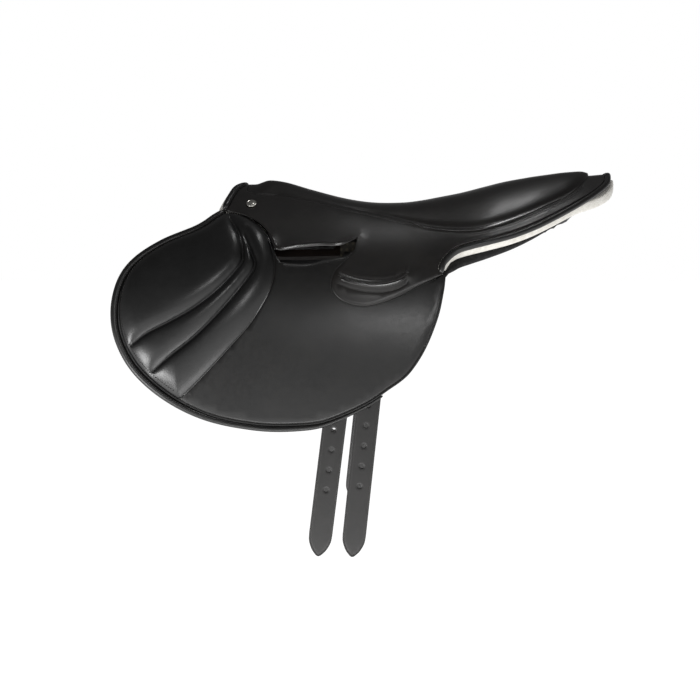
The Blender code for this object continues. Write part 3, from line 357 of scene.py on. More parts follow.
@dataclass(frozen=True)
class Layers:
    """Outlines and depths that more than one piece shares, as the frame has them."""

    gap: float = 0.3
    seam_gap: float = 0.5
    skirt_thickness: float = 2.5
    flap_thickness: float = 3.0
    billet_clearance: float = 3.2
    billet_thickness: float = 4.0
    sweat_clearance: float = 3.8
    sweat_thickness: float = 2.5
    rail_gap: float = 0.7
    rail_rear_depth: float = 8.4
    rail_thickness: float = 9.0
    felt_gap: float = 0.6
    felt_rim_depth: float = 6.1
    felt_thickness: float = 10.5
    rail_end: float = 188.0
    pommel_roll: float = 4.6
    cantle_roll: float = 3.9
    roll_depth: float = 1.2
    flap_roll: float = 4.7
    flap_roll_thin: float = 1.6
    flap_roll_end: float = -24.0
    fold_front: tuple = (-230.0, 55.5)
    fold_rear: tuple = (48.0, -23.0)
    # Rows of (x, half width, height of the crown).
    seat: tuple = (
        (-201.5, 27.5, 0.4), (-190, 29.8, 1.0), (-183, 30.2, 3.8), (-175, 30.4, 6.4), (-160, 31.2, 6.4),
        (-120, 40.0, 4.0), (-76, 52.5, 3.2), (-40, 60.0, 3.0), (0, 72.0, 3.0), (40, 84.5, 3.4),
        (97, 95.0, 4.2), (147, 85.0, 6.0), (190, 66.5, 8.4), (215, 50.0, 9.0), (232, 29.0, 8.0),
        (241, 12.0, 4.0),
    )
    # Rows of (x, height), in a side view.
    flap_rim: tuple = (
        (-234, 54.5), (-243, 49), (-262, 36.5), (-304, 19), (-337, -3), (-355, -29), (-362, -65),
        (-356, -103), (-334, -142), (-295, -176), (-246, -200), (-189, -212), (-135, -213.5),
        (-92, -205.5), (-44, -182), (-6, -153), (20, -119), (38, -77), (46, -43), (48.5, -24),
    )
    skirt_rear_low: tuple = ((48, -22), (50, -13), (57.5, -4.5), (68, 2.5))
    # Rows of (x, half width), in plan.
    cantle_rim: tuple = (
        (84, 108.7), (107, 108.5), (135, 104.5), (165, 97), (195, 84.5), (226, 67.5), (249, 49),
        (265.5, 29), (272, 0),
    )
    pommel_rim: tuple = ((-211, 0), (-213, 8), (-221, 20), (-227.5, 40), (-231, 52))

    @property
    def flap_depth(self) -> float:
        """Depth of the outer face of the flap."""
        return self.skirt_thickness + self.gap

    @property
    def billet_depth(self) -> float:
        """Depth of the outer face of the billets."""
        return self.flap_depth + self.flap_thickness + self.billet_clearance

    @property
    def sweat_depth(self) -> float:
        """Depth of the outer face of the sweat flap."""
        return self.billet_depth + self.billet_thickness + self.sweat_clearance

    def rail_depth(self, x: Depth) -> Depth:
        """Depth of the outer face of the tree's rails."""
        front, rear = self.sweat_depth + self.sweat_thickness + self.rail_gap, self.rail_rear_depth
        return front + (rear - front) * smoothstep(x, -30.0, 60.0)

    def rim_half_width(self, x: np.ndarray) -> np.ndarray:
        """Half width in plan of the outer line of the cantle binding.

        Args:
            x: Places along the saddle.

        Returns:
            One half width for each x.
        """
        (x0, y0), (x1, _) = self.cantle_rim[-2:]
        tip = y0 * np.sqrt(np.clip(1 - (x - x0) / (x1 - x0), 0.0, 1.0))
        return np.where(x > x0, tip, curve_through(self.cantle_rim, x))

    def rim_x(self, t: Depth) -> Depth:
        """x of the outer line of the pommel binding at this way down the side."""
        rows = [(float(FORM.at_width(x, w)[0, 1]), x) for x, w in self.pommel_rim]
        return curve_through(rows, np.abs(t))

    def stack_depth(self, places: Places) -> np.ndarray:
        """Depth of the outer face of the felt, which lies under the rails and rises to the bindings.

        Args:
            places: Places on the form.

        Returns:
            One depth for each place.
        """
        x, t = places[:, 0], places[:, 1]
        width = np.abs(FORM.points(places)[:, 1])
        under_rail = self.rail_depth(np.minimum(x, self.rail_end)) + self.rail_thickness + self.felt_gap
        edge = self.rim_half_width(x)
        at_cantle = smoothstep(x, 42, 58) * (1 - smoothstep(edge - width, 13.0, 22.0))
        past_rails = smoothstep(x, self.rail_end + 10, self.rail_end + 36) * 0.64
        lift = np.maximum.reduce([at_cantle, past_rails, smoothstep(x, 251.0, 262.0)])
        lift = np.maximum(lift, 1 - smoothstep(x - self.rim_x(t), 7.0, 17.0))
        return under_rail + (self.felt_rim_depth - under_rail) * lift

    def seam_line(self, step: float) -> Places:
        """Seam between seat and skirt, from the pommel round to the back of the seat.

        Args:
            step: Distance between its points along x.

        Returns:
            The line.
        """
        end = self.seat[-1][0]
        x = np.append(np.arange(self.seat[0][0], end - 1, step), end)
        rows = FORM.at_width(x, curve_through(self.seat, x) + self.seam_gap)
        return np.vstack((rows[:-1], [(end + self.seam_gap, rows[-1, 1]), (end + self.seam_gap, self.gap)]))

    def pommel_line(self, step: float) -> Places:
        """Outer line of the pommel binding, from the ridge down to the fold."""
        rim = np.array(self.pommel_rim, float)
        return smooth_line(FORM.at_width(rim[:, 0], rim[:, 1]), step)

    def cantle_line(self, step: float) -> Places:
        """Outer line of the cantle binding, from the notch round to the ridge."""
        rim = np.array(self.cantle_rim, float)
        return smooth_line(
            np.vstack((FORM.at_height(self.skirt_rear_low), FORM.at_width(rim[:, 0], rim[:, 1]))), step
        )

    def fold_height(self, x: Depth) -> Depth:
        """Height of the fold line at x, in a side view."""
        (x0, z0), (x1, z1) = self.fold_front, self.fold_rear
        return z0 + (z1 - z0) * (np.asarray(x, float) - x0) / (x1 - x0)

    def fold_places(self, xs: Sequence[float], above: float) -> Places:
        """Places on the fold line, moved up by a distance."""
        return FORM.at_height([(x, float(self.fold_height(x)) + above) for x in xs])

    def rim_and_radii(self, step: float) -> tuple[Places, np.ndarray]:
        """Outer line of the flap with the radius of its roll.

        Args:
            step: Distance between the points, about.

        Returns:
            The line, and a radius for each point, 0 where the roll has ended.
        """
        line = smooth_line(FORM.at_height(self.flap_rim), step)
        lowest, turn = int(np.argmax(line[:, 1])), int(np.argmin(line[:, 0]))
        x, index = line[:, 0], np.arange(len(line))
        radius = self.flap_roll - 1.0 * smoothstep(x, -330, -200)
        radius = radius + (self.flap_roll_thin - radius) * smoothstep(x, -150, self.flap_roll_end)
        radius = np.where(index > turn, radius, self.flap_roll)
        return line, np.where((index <= lowest) | (x < self.flap_roll_end), radius, 0.0)

    def flap_edge(self, step: float) -> Places:
        """Cut edge of the flap, inside its roll.

        Args:
            step: Distance between the points, about.

        Returns:
            The line.
        """
        line, radii = self.rim_and_radii(step)
        last = int(np.max(np.nonzero(radii)[0]))
        index = np.arange(len(line))
        fade = 1 - smoothstep(index, last + 1, last + round(44 / step))
        fade = fade * (2 * self.flap_roll_thin + self.seam_gap)
        return FORM.aside(line, np.where(radii > 0, 2 * radii + self.seam_gap, fade))


LAYERS = Layers()


@dataclass
class Net:
    """Triangles over an outline on the form.

    Args:
        outline: Closed outline in (x, t).
        spacing: Distance between inner points.
        holes: Closed outlines cut out of it.
        rows: Lines, such as stitch rows, that need close points on and beside them.
        rims: Distances of the point rows that follow every edge.
        row_reach: Distance of the point rows beside each stitch row.
    """

    outline: Places
    spacing: float
    holes: Sequence[Places] = ()
    rows: Sequence[Places] = ()
    rims: Sequence[float] = (0.9, 2.4, 4.6)
    row_reach: float = 1.15
    places: Places = field(init=False)
    triangles: np.ndarray = field(init=False)

    def __post_init__(self) -> None:
        """Fills the outline."""
        loops = [self.outline, *self.holes]
        fixed = np.vstack(loops)
        edges, first = [], 0
        for loop in loops:
            count = len(loop)
            edges += [(first + i, first + (i + 1) % count) for i in range(count)]
            first += count
        groups = [fixed]
        for reach in self.rims:
            for loop in loops:
                groups.append(self._beside(loop, reach))
        for row in self.rows:
            groups.append(self._row_points(row))
        groups.append(self._grid())
        every = np.vstack([g for g in groups if len(g)])
        made = delaunay_2d_cdt([Vector(p) for p in every.tolist()], edges, [], 0, 1e-4)
        self.places = np.array([(p.x, p.y) for p in made[0]])
        faces = np.array([tuple(f) for f in made[2]])
        middles = self.places[faces].mean(axis=1)
        self.triangles = faces[self._contains(middles)]

    def _contains(self, places: Places) -> np.ndarray:
        """Whether each place lies in the outline and in no hole."""
        found = inside(places, self.outline)
        for hole in self.holes:
            found &= ~inside(places, hole)
        return found

    def _rim_distance(self, places: Places) -> np.ndarray:
        """Distance from each place to the nearest edge."""
        return np.minimum.reduce([distance_to(places, loop, True) for loop in (self.outline, *self.holes)])

    def _beside(self, loop: Places, reach: float) -> Places:
        """Points inside one edge.

        Args:
            loop: The edge.
            reach: Their distance from it.

        Returns:
            The points.
        """
        way = np.roll(loop, -1, axis=0) - np.roll(loop, 1, axis=0)
        turn = unit(np.stack((way[:, 1], -way[:, 0]), axis=1))
        both = np.vstack((loop + turn * reach, loop - turn * reach))
        both = both[self._contains(both)]
        return both[self._rim_distance(both) > 0.85 * reach] if len(both) else both

    def _row_points(self, row: Places) -> Places:
        """Points on a stitch row and on both sides of it.

        Args:
            row: The row.

        Returns:
            The points.
        """
        way = np.gradient(row, axis=0)
        turn = unit(np.stack((way[:, 1], -way[:, 0]), axis=1))
        found = np.vstack([row + turn * k * self.row_reach for k in (-1, 0, 1)])
        found = found[self._contains(found)]
        return found[self._rim_distance(found) > 0.6] if len(found) else found

    def _grid(self) -> Places:
        """Inner points, in staggered rows."""
        low, high = self.outline.min(axis=0), self.outline.max(axis=0)
        j, i = np.mgrid[
            math.floor(low[1] / self.spacing) : math.ceil(high[1] / self.spacing) + 1,
            math.floor(low[0] / self.spacing) : math.ceil(high[0] / self.spacing) + 1,
        ]
        grid = np.stack(((i + 0.5 * (j % 2)) * self.spacing, j * self.spacing), axis=-1).reshape(-1, 2)
        grid = grid[self._contains(grid)]
        far = self._rim_distance(grid) > (max(self.rims) if self.rims else 0) + 0.45 * self.spacing
        for row in self.rows:
            far &= distance_to(grid, row) > self.row_reach + 0.35 * self.spacing
        return grid[far]


@dataclass
class Shell:
    """Closed body between two skins that share one net, with a rounded wall round every edge."""

    points: list
    faces: list

    @classmethod
    def between(cls, net: Net, top: Points, bottom: Points, bulge: float = 0.4, rings: int = 3) -> "Shell":
        """Makes the body.

        Args:
            net: The shared net.
            top: Points of the outer skin.
            bottom: Points of the inner skin.
            bulge: How far the wall stands out at half its height.
            rings: Point rows in the wall.

        Returns:
            The body.
        """
        count = len(top)
        points = [*top, *bottom]
        faces = [tuple(int(k) for k in (a, c, b)) for a, b, c in net.triangles]
        faces += [tuple(int(k) + count for k in (a, b, c)) for a, b, c in net.triangles]
        rim: dict[tuple[int, int], np.ndarray] = {}
        for tri in net.triangles:
            a, b, c = (int(k) for k in tri)
            middle = (top[a] + top[b] + top[c]) / 3
            for edge in ((a, b), (b, c), (c, a)):
                if edge[::-1] in rim:
                    del rim[edge[::-1]]
                else:
                    rim[edge] = middle
        outward: dict[int, np.ndarray] = {}
        for (a, b), middle in rim.items():
            way = unit(top[b] - top[a])
            away = (top[a] + top[b]) / 2 - middle
            away = unit(away - way * (away @ way))
            for k in (a, b):
                outward[k] = outward.get(k, np.zeros(3)) + away
        rings_of: dict[int, list[int]] = {}
        for k, away in outward.items():
            chain = [k]
            for ring in range(1, rings + 1):
                turn = math.pi * ring / (rings + 1)
                share = (1 - math.cos(turn)) / 2
                chain.append(len(points))
                points.append(top[k] * (1 - share) + bottom[k] * share + unit(away) * bulge * math.sin(turn))
            chain.append(k + count)
            rings_of[k] = chain
        for a, b in rim:
            for i in range(rings + 1):
                faces.append((rings_of[a][i], rings_of[b][i], rings_of[b][i + 1], rings_of[a][i + 1]))
        return cls(points, faces)


@dataclass
class Tube:
    """Roll along a line of points.

    Args:
        centres: The line.
        radii: Radius at each point.
        sides: Sides of its cross-section.
        flat: Height of the cross-section as a share of its width.
        hint: Direction that the flat side faces.
    """

    centres: Points
    radii: np.ndarray
    sides: int = 20
    flat: float = 1.0
    hint: tuple = (0.0, 1.0, 0.35)

    def shell(self) -> Shell:
        """The closed body of the roll, with drawn-in ends."""
        low = np.maximum(np.arange(len(self.centres)) - 1, 0)
        high = np.minimum(np.arange(len(self.centres)) + 1, len(self.centres) - 1)
        way = unit(self.centres[high] - self.centres[low])
        across = unit(np.cross(way, np.broadcast_to(unit(np.array(self.hint)), way.shape)))
        other = np.cross(way, across)
        radii = self.radii.astype(float).copy()
        radii[[0, -1]] *= 0.55
        radii[[1, -2]] *= 0.9
        turns = 2 * math.pi * np.arange(self.sides) / self.sides
        power = 1.0 if self.flat == 1.0 else 0.55
        wide = np.sign(np.cos(turns)) * np.abs(np.cos(turns)) ** power
        high = np.sign(np.sin(turns)) * np.abs(np.sin(turns)) ** power * self.flat
        rings = (
            self.centres[:, None]
            + across[:, None] * wide[None, :, None] * radii[:, None, None]
            + other[:, None] * high[None, :, None] * radii[:, None, None]
        )
        faces = []
        for i in range(len(rings) - 1):
            for k in range(self.sides):
                m = (k + 1) % self.sides
                a, b = i * self.sides, (i + 1) * self.sides
                faces.append((a + k, a + m, b + m, b + k))
        last = (len(rings) - 1) * self.sides
        faces.append(tuple(range(self.sides))[::-1])
        faces.append(tuple(range(last, last + self.sides)))
        return Shell(list(rings.reshape(-1, 3)), faces)


# Materials


def linear(hex_colour: str) -> tuple[float, float, float, float]:
    """Linear colour from an sRGB hex value such as #1a1817."""
    values = [int(hex_colour[i : i + 2], 16) / 255 for i in (1, 3, 5)]
    return (*(v / 12.92 if v <= 0.04045 else ((v + 0.055) / 1.055) ** 2.4 for v in values), 1.0)


def add_node(
    tree: NodeTree, kind: str, links: dict | None = None, values: dict | None = None, **settings: object
) -> Node:
    """Adds a node with its settings, socket values and incoming links.

    Args:
        tree: Tree that gets the node.
        kind: Type name of the node.
        links: Output socket for each input, by name or number.
        values: Value for each input, by name or number.
        **settings: Properties of the node.

    Returns:
        The node.
    """
    node = tree.nodes.new(kind)
    for name, value in settings.items():
        setattr(node, name, value)
    for name, value in (values or {}).items():
        node.inputs[name].default_value = value
    for name, output in (links or {}).items():
        tree.links.new(output, node.inputs[name])
    return node


def per_metre(millimetres: float) -> float:
    """Scale of a pattern, in object coordinates in metres, for features of this size."""
    return 1.0 / (millimetres * MM)


@dataclass(frozen=True)
class Finish:
    """A finish, built once as a material.

    Args:
        name: Name of the material.
    """

    name: str

    def material(self) -> bpy.types.Material:
        """Makes the material, the first time that it is asked for.

        Returns:
            The material of this finish.
        """
        found = bpy.data.materials.get(self.name)
        if found:
            return found
        made = bpy.data.materials.new(self.name)
        made.use_nodes = True
        made.node_tree.nodes.clear()
        tree = made.node_tree
        shader = add_node(tree, "ShaderNodeBsdfPrincipled")
        add_node(tree, "ShaderNodeOutputMaterial", {"Surface": shader.outputs[0]})
        coordinates = add_node(tree, "ShaderNodeTexCoord").outputs["Object"]
        self.dress(tree, shader, coordinates)
        return made

    def dress(self, tree: NodeTree, shader: Node, coordinates: Socket) -> None:
        """Adds the nodes of the finish.

        Args:
            tree: Tree of the material.
            shader: Its shader.
            coordinates: Socket with the object's coordinates in metres.
        """
        raise NotImplementedError

    @staticmethod
    def mixed(tree: NodeTree, factor: Socket, low: str, high: str) -> Socket:
        """Colour between two others.

        Args:
            tree: Tree of the material.
            factor: Socket with the share of the second colour.
            low: First colour, as an sRGB hex value.
            high: Second colour.

        Returns:
            Socket with the colour.
        """
        ramp = add_node(tree, "ShaderNodeValToRGB", {"Fac": factor})
        ramp.color_ramp.elements[0].color = linear(low)
        ramp.color_ramp.elements[1].color = linear(high)
        ramp.color_ramp.elements[0].position, ramp.color_ramp.elements[1].position = 0.3, 0.72
        return ramp.outputs["Color"]

    @staticmethod
    def spread(tree: NodeTree, factor: Socket, low: float, high: float) -> Socket:
        """Number between two others.

        Args:
            tree: Tree of the material.
            factor: Socket with the share of the second number.
            low: First number.
            high: Second number.

        Returns:
            Socket with the number.
        """
        return add_node(
            tree, "ShaderNodeMapRange", {"Value": factor},
            {"From Min": 0.25, "From Max": 0.75, "To Min": low, "To Max": high},
        ).outputs[0]


@dataclass(frozen=True)
class Leather(Finish):
    """Vegetable-tanned cowhide, drum-dyed black and polished: a fine pore grain under a thin glaze.

    Args:
        dark: Darker tone of the dye.
        light: Lighter tone of the dye.
        roughness: Least and greatest roughness of the polish.
        mottle_mm: Size of the spots of the dye.
        polish_mm: Size of the spots of the polish.
        grain_mm: Distance of the pores.
        grain: Strength of the pores.
        crease_mm: Distance of the creases.
        crease: Strength of the creases.
        glaze: Share of the glaze.
        glaze_roughness: Its roughness.
    """

    dark: str = "#0b0b0b"
    light: str = "#151413"
    roughness: tuple = (0.30, 0.40)
    mottle_mm: float = 28.0
    polish_mm: float = 5.0
    grain_mm: float = 1.1
    grain: float = 0.10
    crease_mm: float = 14.0
    crease: float = 0.16
    glaze: float = 0.25
    glaze_roughness: float = 0.22

    def dress(self, tree: NodeTree, shader: Node, coordinates: Socket) -> None:
        """Mottled dye, uneven polish, pores and the slow creases of worked hide.

        Args:
            tree: Tree of the material.
            shader: Its shader.
            coordinates: Socket with the object's coordinates in metres.
        """
        mottle = add_node(
            tree, "ShaderNodeTexNoise", {"Vector": coordinates},
            {"Scale": per_metre(self.mottle_mm), "Detail": 4.0, "Roughness": 0.6},
        ).outputs["Fac"]
        fine = add_node(
            tree, "ShaderNodeTexNoise", {"Vector": coordinates},
            {"Scale": per_metre(self.polish_mm), "Detail": 3.0},
        ).outputs["Fac"]
        # Pores of cowhide are 0.1 to 0.3 mm apart, too fine to show here, so they are drawn coarser.
        pores = add_node(
            tree, "ShaderNodeTexVoronoi", {"Vector": coordinates}, {"Scale": per_metre(self.grain_mm)},
            feature="SMOOTH_F1",
        ).outputs["Distance"]
        creases = add_node(
            tree, "ShaderNodeTexNoise", {"Vector": coordinates},
            {"Scale": per_metre(self.crease_mm), "Detail": 3.0, "Roughness": 0.55},
        ).outputs["Fac"]
        tree.links.new(self.mixed(tree, mottle, self.dark, self.light), shader.inputs["Base Color"])
        tree.links.new(self.spread(tree, fine, *self.roughness), shader.inputs["Roughness"])
        slow = add_node(
            tree, "ShaderNodeBump", {"Height": creases}, {"Strength": self.crease, "Distance": 0.8 * MM}
        ).outputs[0]
        bump = add_node(
            tree, "ShaderNodeBump", {"Height": pores, "Normal": slow},
            {"Strength": self.grain, "Distance": 0.25 * MM},
        ).outputs[0]
        tree.links.new(bump, shader.inputs["Normal"])
        shader.inputs["IOR"].default_value = 1.5
        shader.inputs["Coat Weight"].default_value = self.glaze
        shader.inputs["Coat Roughness"].default_value = self.glaze_roughness


@dataclass(frozen=True)
class Thread(Finish):
    """Waxed linen thread: a tight twist with a slight shine along each stitch."""

    colour: str = "#2a2826"
    roughness: float = 0.5

    def dress(self, tree: NodeTree, shader: Node, coordinates: Socket) -> None:
        """Twist of the yarn, every 0.8 mm, as a bump and a slight change of tone.

        Args:
            tree: Tree of the material.
            shader: Its shader.
            coordinates: Socket with the object's coordinates in metres.
        """
        twist = add_node(
            tree, "ShaderNodeTexNoise", {"Vector": coordinates}, {"Scale": per_metre(0.8), "Detail": 1.0}
        ).outputs["Fac"]
        tree.links.new(self.mixed(tree, twist, "#161515", self.colour), shader.inputs["Base Color"])
        bump = add_node(tree, "ShaderNodeBump", {"Height": twist}, {"Strength": 0.5, "Distance": 0.15 * MM})
        tree.links.new(bump.outputs[0], shader.inputs["Normal"])
        shader.inputs["Roughness"].default_value = self.roughness


@dataclass(frozen=True)
class Felt(Finish):
    """Pressed wool felt: matted fibres, nearly white, with no shine."""

    dark: str = "#dcd8cf"
    light: str = "#f6f4ee"

    def dress(self, tree: NodeTree, shader: Node, coordinates: Socket) -> None:
        """Clumps of 6 mm and fibres of about 0.5 mm, drawn at 0.9 mm so that they show.

        Args:
            tree: Tree of the material.
            shader: Its shader.
            coordinates: Socket with the object's coordinates in metres.
        """
        clumps = add_node(
            tree, "ShaderNodeTexNoise", {"Vector": coordinates},
            {"Scale": per_metre(6), "Detail": 5.0, "Roughness": 0.7},
        ).outputs["Fac"]
        fibres = add_node(
            tree, "ShaderNodeTexNoise", {"Vector": coordinates},
            {"Scale": per_metre(0.9), "Detail": 3.0, "Distortion": 1.5},
        ).outputs["Fac"]
        tree.links.new(self.mixed(tree, clumps, self.dark, self.light), shader.inputs["Base Color"])
        slow = add_node(tree, "ShaderNodeBump", {"Height": clumps}, {"Strength": 0.4, "Distance": 0.8 * MM})
        bump = add_node(
            tree, "ShaderNodeBump", {"Height": fibres, "Normal": slow.outputs[0]},
            {"Strength": 0.6, "Distance": 0.3 * MM},
        )
        tree.links.new(bump.outputs[0], shader.inputs["Normal"])
        shader.inputs["Roughness"].default_value = 0.95
        shader.inputs["Specular IOR Level"].default_value = 0.2
        shader.inputs["Sheen Weight"].default_value = 0.35
        shader.inputs["Sheen Roughness"].default_value = 0.6


@dataclass(frozen=True)
class Woven(Finish):
    """Plain-woven cloth: crossing threads at the given spacing."""

    dark: str = "#8f8875"
    light: str = "#c9c2ae"
    thread_mm: float = 1.2
    depth: float = 0.6
    sheen: float = 0.1

    def dress(self, tree: NodeTree, shader: Node, coordinates: Socket) -> None:
        """Two crossed sets of threads.

        Args:
            tree: Tree of the material.
            shader: Its shader.
            coordinates: Socket with the object's coordinates in metres.
        """
        waves = []
        for direction in ("X", "Z"):
            wave = add_node(
                tree, "ShaderNodeTexWave", {"Vector": coordinates},
                {"Scale": per_metre(self.thread_mm) / 20, "Distortion": 0.6, "Detail Scale": 2.0},
                bands_direction=direction,
            )
            waves.append(wave.outputs["Fac"])
        cross = add_node(tree, "ShaderNodeMath", {0: waves[0], 1: waves[1]}, operation="MULTIPLY").outputs[0]
        tree.links.new(self.mixed(tree, cross, self.dark, self.light), shader.inputs["Base Color"])
        bump = add_node(
            tree, "ShaderNodeBump", {"Height": cross}, {"Strength": self.depth, "Distance": 0.3 * MM}
        )
        tree.links.new(bump.outputs[0], shader.inputs["Normal"])
        shader.inputs["Roughness"].default_value = 0.88
        shader.inputs["Sheen Weight"].default_value = self.sheen


@dataclass(frozen=True)
class Laminate(Finish):
    """Beech laminate of a saddle tree, pressed and varnished: long grain and fine pores."""

    def dress(self, tree: NodeTree, shader: Node, coordinates: Socket) -> None:
        """Grain stretched along the rail, with lines about 3 mm apart.

        Args:
            tree: Tree of the material.
            shader: Its shader.
            coordinates: Socket with the object's coordinates in metres.
        """
        placed = add_node(
            tree, "ShaderNodeMapping", {"Vector": coordinates}, {"Scale": (0.12, 1.0, 1.0)}
        ).outputs[0]
        grain = add_node(
            tree, "ShaderNodeTexNoise", {"Vector": placed},
            {"Scale": per_metre(3), "Detail": 6.0, "Roughness": 0.65},
        ).outputs["Fac"]
        tree.links.new(self.mixed(tree, grain, "#100a07", "#20150f"), shader.inputs["Base Color"])
        bump = add_node(tree, "ShaderNodeBump", {"Height": grain}, {"Strength": 0.3, "Distance": 0.3 * MM})
        tree.links.new(bump.outputs[0], shader.inputs["Normal"])
        shader.inputs["Roughness"].default_value = 0.45
        shader.inputs["Coat Weight"].default_value = 0.3
        shader.inputs["Coat Roughness"].default_value = 0.25


@dataclass(frozen=True)
class Metal(Finish):
    """A solid metal with fine rubbing marks."""

    colour: str = "#b9b9ba"
    worn: str = "#8d8d90"
    roughness: tuple = (0.28, 0.42)
    marks_mm: float = 2.0

    def dress(self, tree: NodeTree, shader: Node, coordinates: Socket) -> None:
        """Clouded polish and fine scratches.

        Args:
            tree: Tree of the material.
            shader: Its shader.
            coordinates: Socket with the object's coordinates in metres.
        """
        cloud = add_node(
            tree, "ShaderNodeTexNoise", {"Vector": coordinates},
            {"Scale": per_metre(self.marks_mm * 4), "Detail": 4.0},
        ).outputs["Fac"]
        scratches = add_node(
            tree, "ShaderNodeTexNoise", {"Vector": coordinates},
            {"Scale": per_metre(self.marks_mm), "Detail": 2.0, "Distortion": 2.0},
        ).outputs["Fac"]
        tree.links.new(self.mixed(tree, cloud, self.worn, self.colour), shader.inputs["Base Color"])
        tree.links.new(self.spread(tree, cloud, *self.roughness), shader.inputs["Roughness"])
        bump = add_node(
            tree, "ShaderNodeBump", {"Height": scratches}, {"Strength": 0.15, "Distance": 0.1 * MM}
        )
        tree.links.new(bump.outputs[0], shader.inputs["Normal"])
        shader.inputs["Metallic"].default_value = 1.0


class Finishes:
    """The finishes of this saddle."""

    # Polished flap hide: near black with an even, soft shine.
    flap = Leather("polished_cowhide_flap")
    # The same hide with less polish and a brownish black dye.
    skirt = Leather(
        "polished_cowhide_skirt", dark="#0d0b0a", light="#181513", roughness=(0.34, 0.44)
    )
    # Thin supple calf, pulled over padding: neutral black, with a slightly coarser grain.
    pad = Leather(
        "soft_calf_knee_pad", dark="#0a0a0a", light="#131313", roughness=(0.30, 0.38), grain_mm=1.4
    )
    # Leather folded round a cord: close creases across the fold.
    roll = Leather(
        "folded_binding_leather", dark="#0a0a0a", light="#161514", roughness=(0.32, 0.44), crease_mm=8
    )
    # Waxed harness leather: thick, firm and nearly matt.
    strap = Leather(
        "harness_leather_billet", dark="#121110", light="#1d1b1a", roughness=(0.42, 0.52), glaze=0.1
    )
    # Twilled cotton under the panels: black and matt, with a fine weave.
    lining = Woven("black_drill_panel_lining", dark="#0f0f0f", light="#1d1d1d", thread_mm=1.4, depth=0.4)
    # Edges rubbed with wax until they gleam, so that they draw a bright line.
    lip = Leather(
        "burnished_leather_lip", dark="#0d0b0a", light="#161312", roughness=(0.16, 0.22), grain=0.04,
        crease=0.05, glaze=1.0,
    )
    thread = Thread("waxed_linen_thread")
    felt = Felt("pressed_white_wool_felt")
    # Canvas inside the tree: coloured dark, and coarse.
    canvas = Woven("tree_canvas_web", dark="#2b2822", light="#4a453a")
    laminate = Laminate("varnished_beech_laminate")
    # Forged and rubbed down: grey, with a broken shine.
    steel = Metal("forged_tree_steel")
    # Plated and polished: bright and warm, with small clear lights.
    nickel = Metal(
        "polished_nickel_nail", colour="#e2e0da", worn="#c4c1ba", roughness=(0.16, 0.26), marks_mm=0.8
    )


# Pieces


def make_piece(
    name: str, shell: Shell, finish: Finish, body: str | None, side: Side = Side.NEAR,
    replaces: Sequence[str] = (),
) -> Object:
    """Object from a shell in millimetres, dressed and riding on its body.

    Args:
        name: Name of the piece.
        shell: Its points and faces, on the near side.
        finish: Its finish.
        body: Body that it rides on, or None to leave it on no body.
        side: Side of the horse.
        replaces: Frame nodes that it stands for.

    Returns:
        The object.
    """
    points = side.across(np.array(shell.points)) * MM
    mesh = bpy.data.meshes.new(name)
    mesh.from_pydata(points.tolist(), [], shell.faces)
    mesh.update()
    bm = bmesh.new()
    bm.from_mesh(mesh)
    bmesh.ops.delete(bm, geom=[v for v in bm.verts if not v.link_faces], context="VERTS")
    bmesh.ops.recalc_face_normals(bm, faces=bm.faces)
    bm.to_mesh(mesh)
    bm.free()
    mesh.shade_smooth()
    obj = bpy.data.objects.new(name, mesh)
    bpy.context.scene.collection.objects.link(obj)
    mesh.materials.append(finish.material())
    if body:
        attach(obj, body)
    if replaces:
        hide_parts(*replaces)
    LOG.info("%s: %d faces", name, len(mesh.polygons))
    return obj


